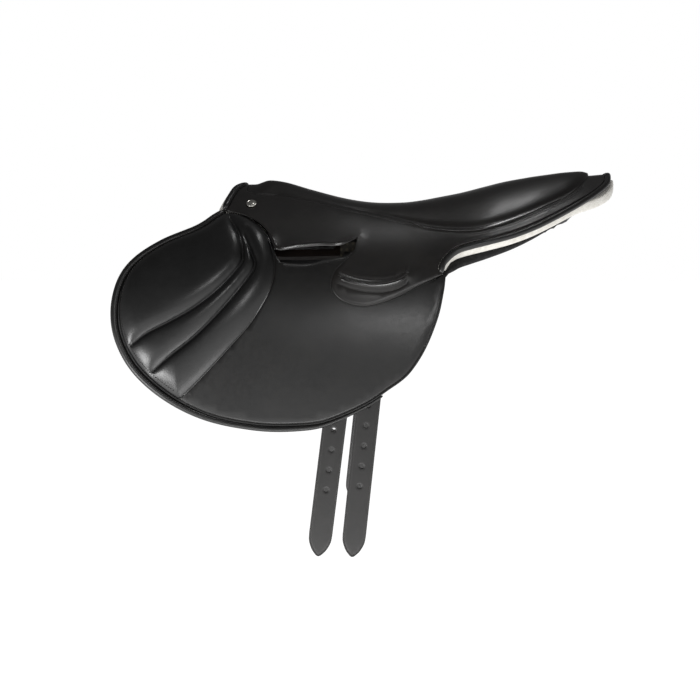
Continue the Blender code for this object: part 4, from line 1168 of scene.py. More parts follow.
@dataclass
class Stitching:
    """Rows of saddler's stitches, each a short raised loop of waxed thread.

    Args:
        pitch: Distance from stitch to stitch.
        length: Length of a stitch.
        radius: Radius of the thread.
        slant_degrees: Turn of each stitch from the row.
        sides: Sides of the thread's cross-section.
        rings: Cross-sections of a stitch: place along it, from -0.5 to 0.5, and share of the radius.
        points: Points of all the stitches so far.
        faces: Their faces.
    """

    pitch: float = 3.3
    length: float = 2.3
    radius: float = 0.5
    slant_degrees: float = 8.0
    sides: int = 6
    rings: tuple = ((-0.42, 0.62), (-0.18, 1.0), (0.18, 1.0), (0.42, 0.62))
    points: list = field(default_factory=list)
    faces: list = field(default_factory=list)

    def row(self, centres: Points, normals: Points) -> None:
        """Adds stitches along a line.

        Args:
            centres: Points of the line, on the leather.
            normals: Outward directions there.
        """
        steps = np.linalg.norm(np.diff(centres, axis=0), axis=1)
        arc = np.concatenate(([0.0], np.cumsum(steps)))
        count = max(2, round(float(arc[-1]) / self.pitch))
        at = (np.arange(count) + 0.5) * arc[-1] / count
        middle = np.stack([np.interp(at, arc, centres[:, k]) for k in range(3)], axis=1)
        ahead = np.stack([np.interp(at + 0.5, arc, centres[:, k]) for k in range(3)], axis=1)
        behind = np.stack([np.interp(at - 0.5, arc, centres[:, k]) for k in range(3)], axis=1)
        up = unit(np.stack([np.interp(at, arc, normals[:, k]) for k in range(3)], axis=1))
        way = unit(ahead - behind)
        across = unit(np.cross(up, way))
        slant = math.radians(self.slant_degrees)
        turned = way * math.cos(slant) + across * math.sin(slant)
        across = across * math.cos(slant) - way * math.sin(slant)
        way = turned
        for m, w, s, n in zip(middle, way, across, up):
            self._stitch(m, w, s, n)

    def _stitch(self, middle: np.ndarray, way: np.ndarray, across: np.ndarray, up: np.ndarray) -> None:
        """Adds one stitch, with its ends sunk into the leather.

        Args:
            middle: Its middle, on the leather.
            way: Its direction.
            across: Direction across it.
            up: Outward direction.
        """
        sides, half = self.sides, 0.5
        turns = [2 * math.pi / sides * k for k in range(sides)]
        first = len(self.points)
        self.points.append(middle - way * self.length * half - up * self.radius * half)
        for share, size in self.rings:
            centre = middle + way * self.length * share + up * self.radius * (size - 0.75)
            for turn in turns:
                self.points.append(
                    centre + (across * math.cos(turn) + up * math.sin(turn)) * self.radius * size
                )
        self.points.append(middle + way * self.length * half - up * self.radius * half)
        last = first + 1 + (len(self.rings) - 1) * sides
        for k in range(sides):
            j = (k + 1) % sides
            self.faces.append((first, first + 1 + j, first + 1 + k))
            for a in range(first + 1, last, sides):
                b = a + sides
                self.faces.append((a + k, a + j, b + j, b + k))
            self.faces.append((last + k, last + j, last + sides))

    def finish(self, name: str, body: str, slot: str, side: Side) -> Object:
        """Makes one piece of all the rows.

        Args:
            name: Name of the piece.
            body: Body that it rides on.
            slot: The record's material slot; not used.
            side: Side of the horse.

        Returns:
            The object.
        """
        return make_piece(name, Shell(self.points, self.faces), Finishes.thread, body, side)


@dataclass
class SewnSheet:
    """A leather sheet on the form, with stitch rows sunk into it.

    Args:
        outline: Closed outline.
        depth: Depth of the outer face.
        thickness: Thickness of the leather.
        spacing: Distance between inner points.
        holes: Cut-outs.
        rows: Stitch rows.
        lift: Height of the outer face above the form's layer, for given places.
        wave: Height of the slow waves in the leather.
        groove: Depth of the groove under a stitch row.
        groove_width: Half width of that groove.
        bulge: How far the cut edge rounds out.
    """

    outline: Places
    depth: Depth
    thickness: float
    spacing: float = 7.0
    holes: Sequence[Places] = ()
    rows: Sequence[Places] = ()
    lift: Callable[[Places], np.ndarray] | None = None
    wave: float = 0.25
    groove: float = 0.75
    groove_width: float = 0.95
    bulge: float = 0.35

    def height(self, places: Places) -> np.ndarray:
        """Height of the leather above its layer, with its stitch grooves.

        Args:
            places: Places on the form.

        Returns:
            One height for each place.
        """
        height = self.wave * ripple(places)
        if self.lift:
            height = height + self.lift(places)
        for row in self.rows:
            height = height - self.groove * bell(distance_to(places, row), self.groove_width)
        return height

    def shell(self) -> Shell:
        """The body of the sheet."""
        net = Net(self.outline, self.spacing, self.holes, self.rows)
        normals = FORM.normals(net.places, self.depth)
        top = FORM.points(net.places, self.depth) + normals * self.height(net.places)[:, None]
        return Shell.between(net, top, top - normals * self.thickness, self.bulge)

    def sew(self, stitching: Stitching, rows: Sequence[Places] | None = None) -> None:
        """Adds stitches along the rows.

        Args:
            stitching: Stitching that gets them.
            rows: Rows to sew, or None for all of the sheet's.
        """
        for row in self.rows if rows is None else rows:
            normals = FORM.normals(row, self.depth)
            stitching.row(FORM.points(row, self.depth) + normals * self.height(row)[:, None], normals)


@dataclass
class Seat:
    """Leather seat over foam, with a ledge along its seam.

    Args:
        step: Distance between its cross-sections.
        columns: Faces of a cross-section.
        crown_power: Squareness of its crown.
        ledge: Depth of the ledge inside the seam.
        ledge_place: Distance of the ledge from the seam.
        ledge_width: Half width of the ledge.
        swell: Extra height of the foam inside the ledge.
        ripples: Height of the waves in the leather.
        cover: Thickness of the leather.
        welt_span: From and to x of the welt in the seam.
        welt_radius: Its radius at the ends and in the middle.
        welt_faces: Direction that its flat side faces.
    """

    step: float = 4.0
    columns: int = 56
    crown_power: float = 2.6
    ledge: float = 1.0
    ledge_place: float = 4.0
    ledge_width: float = 2.4
    swell: float = 0.9
    ripples: float = 0.2
    cover: float = 2.2
    welt_span: tuple = (5.0, 200.0)
    welt_radius: tuple = (0.5, 2.4)
    welt_faces: tuple = (0.1, -0.72, 0.69)

    def build(self) -> None:
        """Makes the seat."""
        rows = LAYERS.seat
        x = np.append(np.arange(rows[0][0], rows[-1][0] - 1, self.step), rows[-1][0])
        shares = -np.cos(np.pi * np.arange(self.columns + 1) / self.columns)
        xs, ss = np.meshgrid(x, shares, indexing="ij")
        xs, ss = xs.ravel(), ss.ravel()
        half = curve_through(rows, xs)
        places = FORM.at_width(xs, half * np.abs(ss))
        places[:, 1] *= np.sign(ss)
        top = FORM.points(places)
        beside_ridge = np.where(np.abs(places[:, 1]) < 0.2, 0.2, places[:, 1])
        normals = FORM.normals(np.stack((xs, beside_ridge), axis=1))
        normals[np.abs(ss) < 1e-9] = (0, 0, 1)
        top[:, 2] += curve_through(rows, xs, 2) * (1 - np.abs(ss) ** self.crown_power)
        edge = half * (1 - np.abs(ss)) * 1.25
        fade = smoothstep(xs, -150, -40) * (1 - smoothstep(xs, 205, 236))
        ledge = self.ledge * bell(edge - self.ledge_place, self.ledge_width)
        lift = self.swell * smoothstep(edge, 3.5, 13) - ledge
        waves = self.ripples * ripple(places) * smoothstep(edge, 2, 20)
        top += normals * (lift * fade + waves)[:, None]
        under = FORM.points(places, self._foam_depth(xs))
        near_edge = smoothstep(edge, 0.0, 4.0)
        rim = FORM.points(places, self.cover)
        bottom = rim + (under - rim) * near_edge[:, None]
        across, count = self.columns + 1, len(top)
        faces = []
        for i in range(len(x) - 1):
            for k in range(self.columns):
                a, b = i * across + k, (i + 1) * across + k
                faces.append((a, b, b + 1, a + 1))
                faces.append((a + count, a + 1 + count, b + 1 + count, b + count))
            for k in (0, self.columns):
                a, b = i * across + k, (i + 1) * across + k
                faces.append((a, a + count, b + count, b))
        for i in (0, len(x) - 1):
            for k in range(self.columns):
                a = i * across + k
                faces.append((a, a + 1, a + 1 + count, a + count))
        shell = Shell([*top, *bottom], faces)
        seat = make_piece(
            "seat", shell, Finishes.skirt, "saddle", replaces=("seat_cover", "seat_foam")
        )
        self._welt()

    def _welt(self) -> None:
        """Makes the welt in the seam on both sides."""
        seam = LAYERS.seam_line(3.0)
        low, high = self.welt_span
        seam = smooth_line(seam[(seam[:, 0] > low) & (seam[:, 0] < high)], 3.0)
        share = np.linspace(0, 1, len(seam))
        thin, full = self.welt_radius
        radii = thin + (full - thin) * smoothstep(share, 0, 0.35) * (1 - smoothstep(share, 0.6, 1.0))
        line = FORM.aside(seam, 1.2)
        welt = Tube(FORM.points(line, -0.1), radii, sides=24, flat=0.45, hint=self.welt_faces)
        for side in Side:
            make_piece(f"{side.value}_seat_welt", welt.shell(), Finishes.lip, "saddle", side)

    @staticmethod
    def _foam_depth(x: np.ndarray) -> np.ndarray:
        """Depth of the underside of the foam, on the webs and on the cantle plate.

        Args:
            x: Places along the saddle.

        Returns:
            One depth for each x.
        """
        on_arch = 2.2 * (1 - smoothstep(x, -155, -135))
        over_web = LAYERS.rail_depth(x) - 0.7 - 2.0 - on_arch - 1.7
        return over_web + (2.65 - over_web) * smoothstep(x, 108, 140)


@dataclass
class Bindings:
    """Folded leather over the pommel and round the cantle.

    Args:
        step: Distance between the points of their lines.
        sides: Sides of the rolls' cross-section.
    """

    step: float = 3.0
    sides: int = 24

    def build(self) -> None:
        """Makes both bindings."""
        pommel = LAYERS.pommel_line(self.step)
        pommel = np.vstack((pommel, pommel[-1] + unit(pommel[-1] - pommel[-2]) * 3.0))
        for name, line, radius, end in (
            ("pommel_binding", pommel, LAYERS.pommel_roll, LAYERS.pommel_rim[0][0]),
            ("cantle_binding", LAYERS.cantle_line(self.step), LAYERS.cantle_roll, LAYERS.cantle_rim[-1][0]),
        ):
            middle = FORM.points(FORM.aside(line, radius), LAYERS.roll_depth)
            middle = middle[middle[:, 1] < -1.0]
            inward = radius if name.startswith("pommel") else -radius
            top = FORM.points(np.array([(end + inward, 0.0)]), LAYERS.roll_depth)
            off = middle * (1, -1, 1)
            if name.startswith("pommel"):
                centres = np.vstack((middle[::-1], top, off))
            else:
                centres = np.vstack((middle, top, off[::-1]))
            tube = Tube(centres, np.full(len(centres), radius), sides=self.sides)
            make_piece(
                name + "_roll", tube.shell(), Finishes.roll, "saddle", replaces=(name,)
            )


@dataclass
class Skirt:
    """Skirt and the tongue that is one piece with it, with the stirrup slot's lip and the keeper's slit.

    Args:
        front_low: Lower edge in front of the slot, as (x, height), like the next three.
        slot_upper: Upper edge of the slot.
        tongue_low: Edge of the tongue.
        slit_upper: Upper edge of the keeper's slit.
        slit_rise: How far that edge is pulled up.
        slit_height: Height of the slit.
        slit_rows: Distances of the two stitch rows from the slit's edges.
        row_insets: Distances of the other rows from the seam, the front edge and the tongue's edge.
        thickness: Thickness of the leather.
        spacing: Distance between its inner points.
        stand_off: How far the tongue stands off the flap at the slit.
        stand_off_reach: How far from the slit that fades.
        slit_bead: Height of the ridge round the slit, and its half width.
        slot_bead: Height of the ridge along the slot, and its half width.
        edge_bead: Height of the ridge along the tongue's edge, its distance from it, and its half width.
        rear_lines: Distance from the rear edge and half width of two raised lines.
        rear_line_height: Their height.
        split_above_fold: Height above the fold at which skirt and tongue are parted.
        bend_reach: Half length of the bend across the fold; not used.
        lip_radius: Radius of the slot's lip.
        slit_lip_radius: Radius of the slit's lip.
        lip_faces: Direction that the lips' flat sides face.
        step: Distance between the points of the edges.
    """

    front_low: tuple = ((-226, 53), (-206, 49), (-190, 42), (-175, 31), (-165, 18))
    slot_upper: tuple = ((-165, 18), (-156.5, 6), (-131, 9), (-104, 11), (-80, 11.5), (-58, 19.5))
    tongue_low: tuple = (
        (-62, 6), (-66, -1), (-75, -11), (-85, -21.5), (-90, -36), (-87, -47), (-77, -56), (-62, -61.5),
        (-47, -62.5), (-30, -59), (-9, -51.5), (16, -38.5), (46, -24.5),
    )
    slit_upper: tuple = ((-82.5, -28), (-67, -34), (-45, -38), (-26, -38), (-8, -33.5), (5, -25.5))
    slit_rise: float = 1.6
    slit_height: float = 1.8
    slit_rows: tuple = (-4.6, 8.0)
    row_insets: tuple = (3.2, 3.0, 1.5)
    thickness: float = 2.1
    spacing: float = 6.5
    stand_off: float = 2.6
    stand_off_reach: float = 12.0
    slit_bead: tuple = (0.7, 2.4)
    slot_bead: tuple = (1.2, 5.0)
    edge_bead: tuple = (0.5, 3.4, 1.6)
    rear_lines: tuple = ((1.2, 0.9), (5.0, 1.0))
    rear_line_height: float = 0.55
    split_above_fold: float = 13.0
    bend_reach: float = 6.0
    lip_radius: float = 2.3
    slit_lip_radius: float = 1.9
    lip_faces: tuple = (0.07, -0.985, 0.15)
    step: float = 3.0

    def slit(self) -> tuple[Places, Places]:
        """Outline of the keeper's slit.

        Returns:
            The closed outline, and its upper edge.
        """
        upper = smooth_line(FORM.at_height(self.slit_upper), 3.5) - (0, self.slit_rise)
        middle = 0.5 * (len(upper) - 1)
        share = np.abs((np.arange(len(upper)) - middle) / middle)
        lower = upper + np.stack((np.zeros(len(upper)), self.slit_height * (1 - share**4)), axis=1)
        return np.vstack((upper, lower[1:-1][::-1])), upper

    def build(self, side: Side) -> None:
        """Makes the skirt with its tongue, their stitches and the two lips.

        Args:
            side: Side of the horse.
        """
        word = side.value
        step = self.step
        front = FORM.aside(LAYERS.pommel_line(step), 2 * LAYERS.pommel_roll + LAYERS.seam_gap)
        corner = FORM.at_width(LAYERS.seat[0][0] - LAYERS.seam_gap, np.arange(26.0, 5.0, -4.0))
        front = front[(front[:, 1] > corner[-1, 1]) & (front[:, 0] < corner[0, 0] - 0.4)]
        low_front = smooth_line(FORM.at_height(self.front_low), step)
        slot = smooth_line(FORM.at_height(self.slot_upper), step)
        tongue = smooth_line(FORM.at_height(self.tongue_low), step)
        rear = FORM.aside(LAYERS.cantle_line(step), 2 * LAYERS.cantle_roll + LAYERS.seam_gap)
        rear = rear[(rear[:, 1] > LAYERS.gap) & (rear[:, 0] > LAYERS.fold_rear[0] - 8)]
        centre = np.array([(rear[-1, 0] + 1.0, LAYERS.gap)])
        seam = LAYERS.seam_line(step)
        outline = joined(front, low_front, slot, tongue, rear, centre, seam[::-1], corner)
        slit, slit_top = self.slit()

        def lift(places: Places) -> np.ndarray:
            """Height of the raised leather and its ridges.

            Args:
                places: Places on the form.

            Returns:
                One height for each place.
            """
            to_slit = distance_to(places, slit, True)
            to_edge = distance_to(places, tongue)
            keeper = self.stand_off * bell(to_slit, self.stand_off_reach) * (1 - np.exp(-to_edge / 7.0))
            lips = self.slit_bead[0] * bell(to_slit, self.slit_bead[1])
            bead = self.slot_bead[0] * bell(distance_to(places, slot), self.slot_bead[1])
            height, inset, width = self.edge_bead
            bead = bead + height * bell(to_edge - inset, width)
            to_rear = distance_to(places, rear)
            fade = smoothstep(places[:, 0], 44, 66) * (1 - smoothstep(places[:, 0], 150, 190))
            lines = sum(bell(to_rear - place, half) for place, half in self.rear_lines)
            return keeper + lips + bead + self.rear_line_height * lines * fade

        seam_row = FORM.aside(seam[:-2], -self.row_insets[0])
        seam_row = seam_row[(seam_row[:, 0] > -196) & (seam_row[:, 0] < 232)]
        low_row = FORM.aside(low_front, -self.row_insets[1])[1:-1]
        tongue_row = FORM.aside(tongue, -self.row_insets[2])[2:-3]
        upper_row = slit_top[1:-1] + (0, self.slit_rows[0])
        lower_row = slit_top[1:-1] + (0, self.slit_height + self.slit_rows[1])
        rows = [seam_row, low_row, tongue_row, upper_row, lower_row]
        sheet = SewnSheet(outline, 0.0, self.thickness, self.spacing, (slit,), rows, lift, wave=0.2)
        net = Net(outline, sheet.spacing, sheet.holes, [*rows, rear + (-1.2, 0.0)])
        normals = FORM.normals(net.places)
        top = FORM.points(net.places) + normals * sheet.height(net.places)[:, None]
        shell = Shell.between(net, top, top - normals * sheet.thickness, sheet.bulge)
        whole = make_piece(f"{word}_skirt_whole", shell, Finishes.skirt, None, side)
        self._split(whole, side)
        fixed, moving = Stitching(), Stitching()
        sheet.sew(fixed, [seam_row, low_row])
        sheet.sew(moving, [tongue_row, upper_row, lower_row])
        fixed.finish(f"{word}_skirt_stitches", "saddle", "skirt_leather", side)
        moving.finish(f"{word}_tongue_stitches", f"{word}_flap", "skirt_leather", side)
        slot_lip = np.vstack((low_front[-4:-1], slot))
        slit_lip = slit_top + (0, self.slit_height + 0.6)
        for name, line, body, radius in (
            ("slot_lip", slot_lip, "saddle", self.lip_radius),
            ("slit_lip", slit_lip, f"{word}_flap", self.slit_lip_radius),
        ):
            line = smooth_line(line, 2.0)
            raised = FORM.points(line) + FORM.normals(line) * (sheet.height(line) - 0.35 * radius)[:, None]
            share = np.linspace(0, 1, len(line))
            radii = radius * (0.45 + 0.55 * smoothstep(share, 0, 0.12) * (1 - smoothstep(share, 0.86, 1.0)))
            tube = Tube(raised, radii, sides=24, flat=0.5, hint=self.lip_faces)
            make_piece(f"{word}_{name}", tube.shell(), Finishes.lip, body, side)

    def _split(self, whole: Object, side: Side) -> None:
        """Parts the tongue from the skirt above the fold: the skirt rides on the saddle, and the tongue is
        left on no body.

        Args:
            whole: Skirt and tongue as one closed mesh.
            side: Side of the horse.
        """
        word, mesh = side.value, whole.data
        middles = np.array([p.center for p in mesh.polygons]) / MM
        line = LAYERS.fold_height(middles[:, 0]) + self.split_above_fold
        low = (middles[:, 2] < line) & (middles[:, 0] > -61.0)
        low |= (middles[:, 2] < -0.5) & (middles[:, 0] > -100.0) & (middles[:, 0] < 0)
        low |= (middles[:, 2] < 14.0) & (middles[:, 0] > -66.0) & (middles[:, 0] < -60)
        normals = [tuple(v.normal) for v in mesh.vertices]
        for name, chosen, node in ((f"{word}_skirt", ~low, "skirt"), (f"{word}_tongue", low, "keeper")):
            faces = [tuple(p.vertices) for p, c in zip(mesh.polygons, chosen) if c]
            used = sorted({k for f in faces for k in f})
            index = {k: i for i, k in enumerate(used)}
            part = bpy.data.meshes.new(name)
            points = [mesh.vertices[k].co[:] for k in used]
            part.from_pydata(points, [], [tuple(index[k] for k in f) for f in faces])
            part.shade_smooth()
            part.normals_split_custom_set_from_vertices([normals[k] for k in used])
            part.materials.append(Finishes.skirt.material())
            obj = bpy.data.objects.new(f"{name}_leather", part)
            bpy.context.scene.collection.objects.link(obj)
            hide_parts(f"{word}_{node}")
            if node == "skirt":
                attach(obj, "saddle")
                continue
            joint = next(j for j in frame["joints"] if j["name"] == f"{word}_flap_fold")
            axis = unit(np.array(joint["axis"], float))
            at = np.array(joint["pos_m"], float)
            centre = at + axis * ((0.0 - at[0]) / axis[0])
            place = FORM.at_height([(0.0, centre[2] / MM)])
            down = side.across(FORM.points(place + (0, 1.0)) - FORM.points(place))[0]
            down = unit(down - axis * (down @ axis))
            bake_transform(obj)
        bpy.data.objects.remove(whole)


@dataclass
class Flap:
    """Lifting flap with its bound edge, and the quilted knee pad on it.

    Args:
        top_front: Top edge in front of the slot, as (x, height), like the next three.
        slot_lower: Lower edge of the slot.
        pad_rear: Rear edge of the knee pad.
        channels: Sewn channels of the pad.
        under_roll: How far the leather reaches under the roll.
        leather: Thickness of the leather.
        roll_depth: Depth of the middle of the roll.
        row_insets: Distances of the stitch rows from the slot, the flap's edge and the pad.
        border_inset: Distance of the pad's stitch row from its front edge.
        pad_spacing: Distance between the pad's inner points.
        pad_inset: Distance of the pad from the flap's edge.
        pad_edge: Thickness of the pad at its edge.
        pad_rise: Rise of its padding.
        pad_shoulder: Distance over which the padding rises.
        channel_width: Half width of a channel.
        channel_share: Share of the rise that a channel takes away.
        pucker: Height of the puckers beside a channel.
        edge_radius: Radius of the pad's burnished rear edge.
        edge_faces: Direction that its flat side faces.
        step: Distance between the points of the edges.
    """

    top_front: tuple = ((-160, 1), (-165, 14), (-175, 27), (-190, 38), (-206, 45), (-219, 49))
    slot_lower: tuple = ((-68, 3), (-76, -1), (-97, -4), (-115, -8.5), (-131, -9.5), (-155, -7.5))
    pad_rear: tuple = (
        (-219, 49.5), (-203, 45), (-187, 36.5), (-172, 22), (-164, 1), (-161, -15), (-165, -38),
        (-176, -61), (-192, -85), (-216, -112), (-245, -143.5), (-274, -173),
    )
    channels: tuple = (
        ((-220, 43), (-204, 17), (-200, -3), (-203, -17), (-227, -44), (-256, -67), (-285, -84),
         (-315, -99), (-335, -112)),
        ((-200, 20), (-189, -3), (-185, -18), (-199, -40), (-227, -73), (-256, -102), (-285, -125),
         (-309, -144)),
    )
    under_roll: float = 1.1
    leather: float = 2.6
    roll_depth: float = 3.4
    row_insets: tuple = (3.2, 3.0, 2.8)
    border_inset: float = 2.6
    pad_spacing: float = 3.4
    pad_inset: float = 1.2
    pad_edge: float = 2.0
    pad_rise: float = 9.5
    pad_shoulder: float = 9.0
    channel_width: float = 4.2
    channel_share: float = 0.80
    pucker: float = 0.16
    edge_radius: float = 1.1
    edge_faces: tuple = (0.07, -0.985, 0.15)
    step: float = 3.5

    def build(self, side: Side) -> None:
        """Makes the flap, its binding and its knee pad.

        Args:
            side: Side of the horse.
        """
        word = side.value
        edge = FORM.aside(LAYERS.flap_edge(self.step), -self.under_roll)
        rear = LAYERS.fold_places((46, 20, -10, -40, -62), -0.6)
        slot = smooth_line(FORM.at_height(self.slot_lower), self.step)
        front = smooth_line(FORM.at_height(self.top_front), self.step)
        fold = LAYERS.fold_places(edge[:, 0], -0.6)[:, 1]
        edge = edge[edge[:, 1] > fold]
        outline = joined(edge, rear, slot, front)
        pad_rear = smooth_line(FORM.at_height(self.pad_rear), self.step)
        slot_row = FORM.aside(slot, self.row_insets[0])[1:-2]
        edge_row = FORM.aside(edge, self.row_insets[1])[20:-4]
        pad_row = FORM.aside(pad_rear, -self.row_insets[2])[22:-3]
        rows = [r for r in (slot_row, edge_row, pad_row) if len(r) > 4]
        sheet = SewnSheet(outline, LAYERS.flap_depth, self.leather, 8.0, (), rows, wave=0.35)
        make_piece(
            f"{word}_flap_leather", sheet.shell(), Finishes.flap, f"{word}_flap", side,
            replaces=(f"{word}_flap",),
        )
        stitching = Stitching()
        sheet.sew(stitching)
        self._binding(side, stitching)
        self._pad(side, pad_rear, stitching)
        stitching.finish(f"{word}_flap_stitches", f"{word}_flap", "smooth_leather", side)

    def _binding(self, side: Side, stitching: Stitching) -> None:
        """Makes the rolled edge round the flap.

        Args:
            side: Side of the horse.
            stitching: Stitching that gets its row.
        """
        word = side.value
        line, radii = LAYERS.rim_and_radii(self.step)
        line, radii = line[radii > 0], radii[radii > 0]
        line = np.vstack((line[0] - unit(line[1] - line[0]) * 4.0, line))
        radii = np.append(radii[0], radii)
        middles = FORM.aside(line, radii)
        centres = FORM.points(middles, self.roll_depth)
        sewn = int(0.62 * len(line))
        row = FORM.aside(line, 1.62 * radii)[2:sewn]
        normals = FORM.normals(row)
        raised = normals * (0.8 * radii[2:sewn])[:, None]
        stitching.row(FORM.points(row, self.roll_depth) + raised, normals)
        tube = Tube(centres, radii, sides=28)
        make_piece(
            f"{word}_flap_roll", tube.shell(), Finishes.roll, f"{word}_flap", side,
            replaces=(f"{word}_flap_binding",),
        )

    def _pad(self, side: Side, rear: Places, stitching: Stitching) -> None:
        """Makes the padded leather, in three swells between two sewn channels.

        Args:
            side: Side of the horse.
            rear: Its rear edge.
            stitching: Stitching that gets its rows.
        """
        word = side.value
        front = FORM.aside(LAYERS.flap_edge(self.step), self.pad_inset)
        bottom = int(np.argmin(np.linalg.norm(front - rear[-1], axis=1)))
        front = front[:bottom]
        front = front[front[:, 0] < self.pad_rear[0][0] - 4]
        outline = joined(front, rear[::-1])
        lines = []
        for points in self.channels:
            line = smooth_line(FORM.at_height(points), self.step)
            kept = inside(line, outline) & (distance_to(line, outline, True) > 3)
            lines.append(line[kept])
        border = FORM.aside(front, self.border_inset)[2:-2]
        base = LAYERS.flap_depth - LAYERS.gap

        def thickness(places: Places) -> np.ndarray:
            """Thickness of the padding, with its channels and puckers.

            Args:
                places: Places on the form.

            Returns:
                One thickness for each place.
            """
            to_edge = distance_to(places, outline, True)
            swell = self.pad_rise * (1 - np.exp(-to_edge / self.pad_shoulder))
            measured = [nearest(places, line) for line in lines]
            to_channel = np.minimum.reduce([m[0] for m in measured])
            dip = self.channel_share * np.exp(-to_channel / self.channel_width)
            puckers = np.zeros(len(places))
            for distance, arc in measured:
                wave = np.sin(arc * 0.82 + 1.7 * np.sin(arc * 0.13)) + 0.5 * np.sin(arc * 0.47 + 1.0)
                puckers += self.pucker * wave * bell(distance - 4.0, 2.6)
            return self.pad_edge + swell * (1 - dip) + puckers * smoothstep(to_edge, 2, 10)

        rims = (0.8, 2.0, 3.6, 5.6)
        net = Net(outline, self.pad_spacing, (), [*lines, border], rims=rims, row_reach=1.4)
        top = FORM.points(net.places, base - thickness(net.places))
        bottom_skin = FORM.points(net.places, base)
        shell = Shell.between(net, top, bottom_skin, 0.5)
        pad = make_piece(
            f"{word}_knee_pad_quilted", shell, Finishes.pad, f"{word}_flap", side,
            replaces=(f"{word}_knee_pad",),
        )
        for row in [*lines, border]:
            depth = base - thickness(row)
            stitching.row(FORM.points(row, depth) + FORM.normals(row) * 0.1, FORM.normals(row))
        cut = smooth_line(rear[10:-1], 2.0)
        radii = np.full(len(cut), self.edge_radius)
        edge = Tube(FORM.points(cut, base - 1.2), radii, sides=16, flat=0.55, hint=self.edge_faces)
        make_piece(f"{word}_knee_pad_edge", edge.shell(), Finishes.lip, f"{word}_flap", side)


@dataclass
class Strap:
    """A punched girth billet, edged with a crease line.

    Args:
        place: Front or rear.
        pivot: Its sewn top, as (x, height).
        lean_degrees: Forward lean at rest.
        lowest_hole: Distance of the lowest hole from the sewn top.
        width: Width of the strap.
        length: Length below the sewn top.
        top: Length above it.
        tip: Length of the pointed end.
        thickness: Thickness of the leather.
        hole_radius: Radius of a hole.
        hole_pitch: Distance from hole to hole.
        hole_count: Number of holes.
        hole_sides: Points round a hole.
        straight_below: Height below which the strap hangs straight.
        crease_inset: Distance of the crease line from the edge.
        crease: Depth of that line, and its half width.
        dimple: How far the leather sinks at a hole, and how far round it.
        arch: Outline of the pointed end, as shares of half the width and of its length.
    """

    place: str
    pivot: tuple
    lean_degrees: float
    lowest_hole: float
    width: float = 28.6
    length: float = 368.0
    top: float = 9.0
    tip: float = 27.0
    thickness: float = 3.6
    hole_radius: float = 2.75
    hole_pitch: float = 25.4
    hole_count: int = 5
    hole_sides: int = 20
    straight_below: float = -205.0
    crease_inset: float = 2.1
    crease: tuple = (0.38, 0.55)
    dimple: tuple = (0.45, 1.3)
    arch: tuple = ((1.0, 1.0), (0.93, 0.67), (0.62, 0.3), (0.2, 0.045), (0.0, 0.0))

    def half_width_at(self, height: np.ndarray) -> np.ndarray:
        """Half width of the middle of the strap, which follows the flap above and hangs straight below.

        Args:
            height: Heights on the strap.

        Returns:
            One half width for each height.
        """
        depth = LAYERS.billet_depth + LAYERS.billet_thickness / 2

        def on_form(z: np.ndarray) -> np.ndarray:
            """Half width of the form at these heights."""
            rows = np.stack((np.full(len(z), self.pivot[0]), z), axis=1)
            return -FORM.points(FORM.at_height(rows, depth), depth)[:, 1]

        low = np.full(len(height), self.straight_below)
        slope = (on_form(low) - on_form(low + 12)) / 12
        straight = on_form(low) + slope * (self.straight_below - height)
        bent = on_form(np.maximum(height, self.straight_below))
        return np.where(height > self.straight_below, bent, straight)

    def points(self, places: Places, offset: np.ndarray) -> Points:
        """Points of the strap.

        Args:
            places: Rows of (across, down) from its sewn top.
            offset: Height of each point off the middle of the strap.

        Returns:
            One point for each row.
        """
        lean = math.radians(self.lean_degrees)
        across, down = places[:, 0], places[:, 1]
        x = self.pivot[0] - down * math.sin(lean) + across * math.cos(lean)
        z = self.pivot[1] - down * math.cos(lean) - across * math.sin(lean)
        slope = (self.half_width_at(z - 1) - self.half_width_at(z + 1)) / 2
        outward = unit(np.stack((np.zeros(len(z)), -np.ones(len(z)), slope), axis=1))
        return np.stack((x, -self.half_width_at(z), z), axis=1) + outward * offset[:, None]

    def build(self, side: Side) -> None:
        """Makes the strap.

        Args:
            side: Side of the horse.
        """
        half, length = self.width / 2, self.length
        corner = smooth_line([(-half * w, length - self.tip * h) for w, h in self.arch], 2.0)
        other = corner[:-1][::-1] * (-1, 1)
        down = np.arange(-self.top, length - self.tip, 4.0)
        left = np.stack((np.full(len(down), -half), down), axis=1)
        outline = joined(left, corner, other, left[::-1] * (-1, 1))
        holes = []
        for k in range(self.hole_count):
            turns = 2 * math.pi * np.arange(self.hole_sides) / self.hole_sides
            middle = np.array((0.0, self.lowest_hole - k * self.hole_pitch))
            holes.append(middle + self.hole_radius * np.stack((np.cos(turns), np.sin(turns)), axis=1))
        net = Net(outline, 5.0, holes, (), rims=(0.7, 1.5, self.crease_inset, 2.8, 4.2))
        to_edge = distance_to(net.places, outline, True)
        crease = self.crease[0] * bell(to_edge - self.crease_inset, self.crease[1])
        to_hole = np.minimum.reduce([distance_to(net.places, hole, True) for hole in holes])
        dimple = self.dimple[0] * bell(to_hole, self.dimple[1])
        outer = self.thickness / 2 - crease - dimple + 0.1 * ripple(net.places * 1.7)
        inner = -self.thickness / 2 + 0.5 * dimple
        shell = Shell.between(net, self.points(net.places, outer), self.points(net.places, inner), 0.3)
        word = side.value
        make_piece(
            f"{word}_{self.place}_billet_strap", shell, Finishes.strap,
            f"{word}_{self.place}_billet", side, replaces=(f"{word}_{self.place}_billet",),
        )


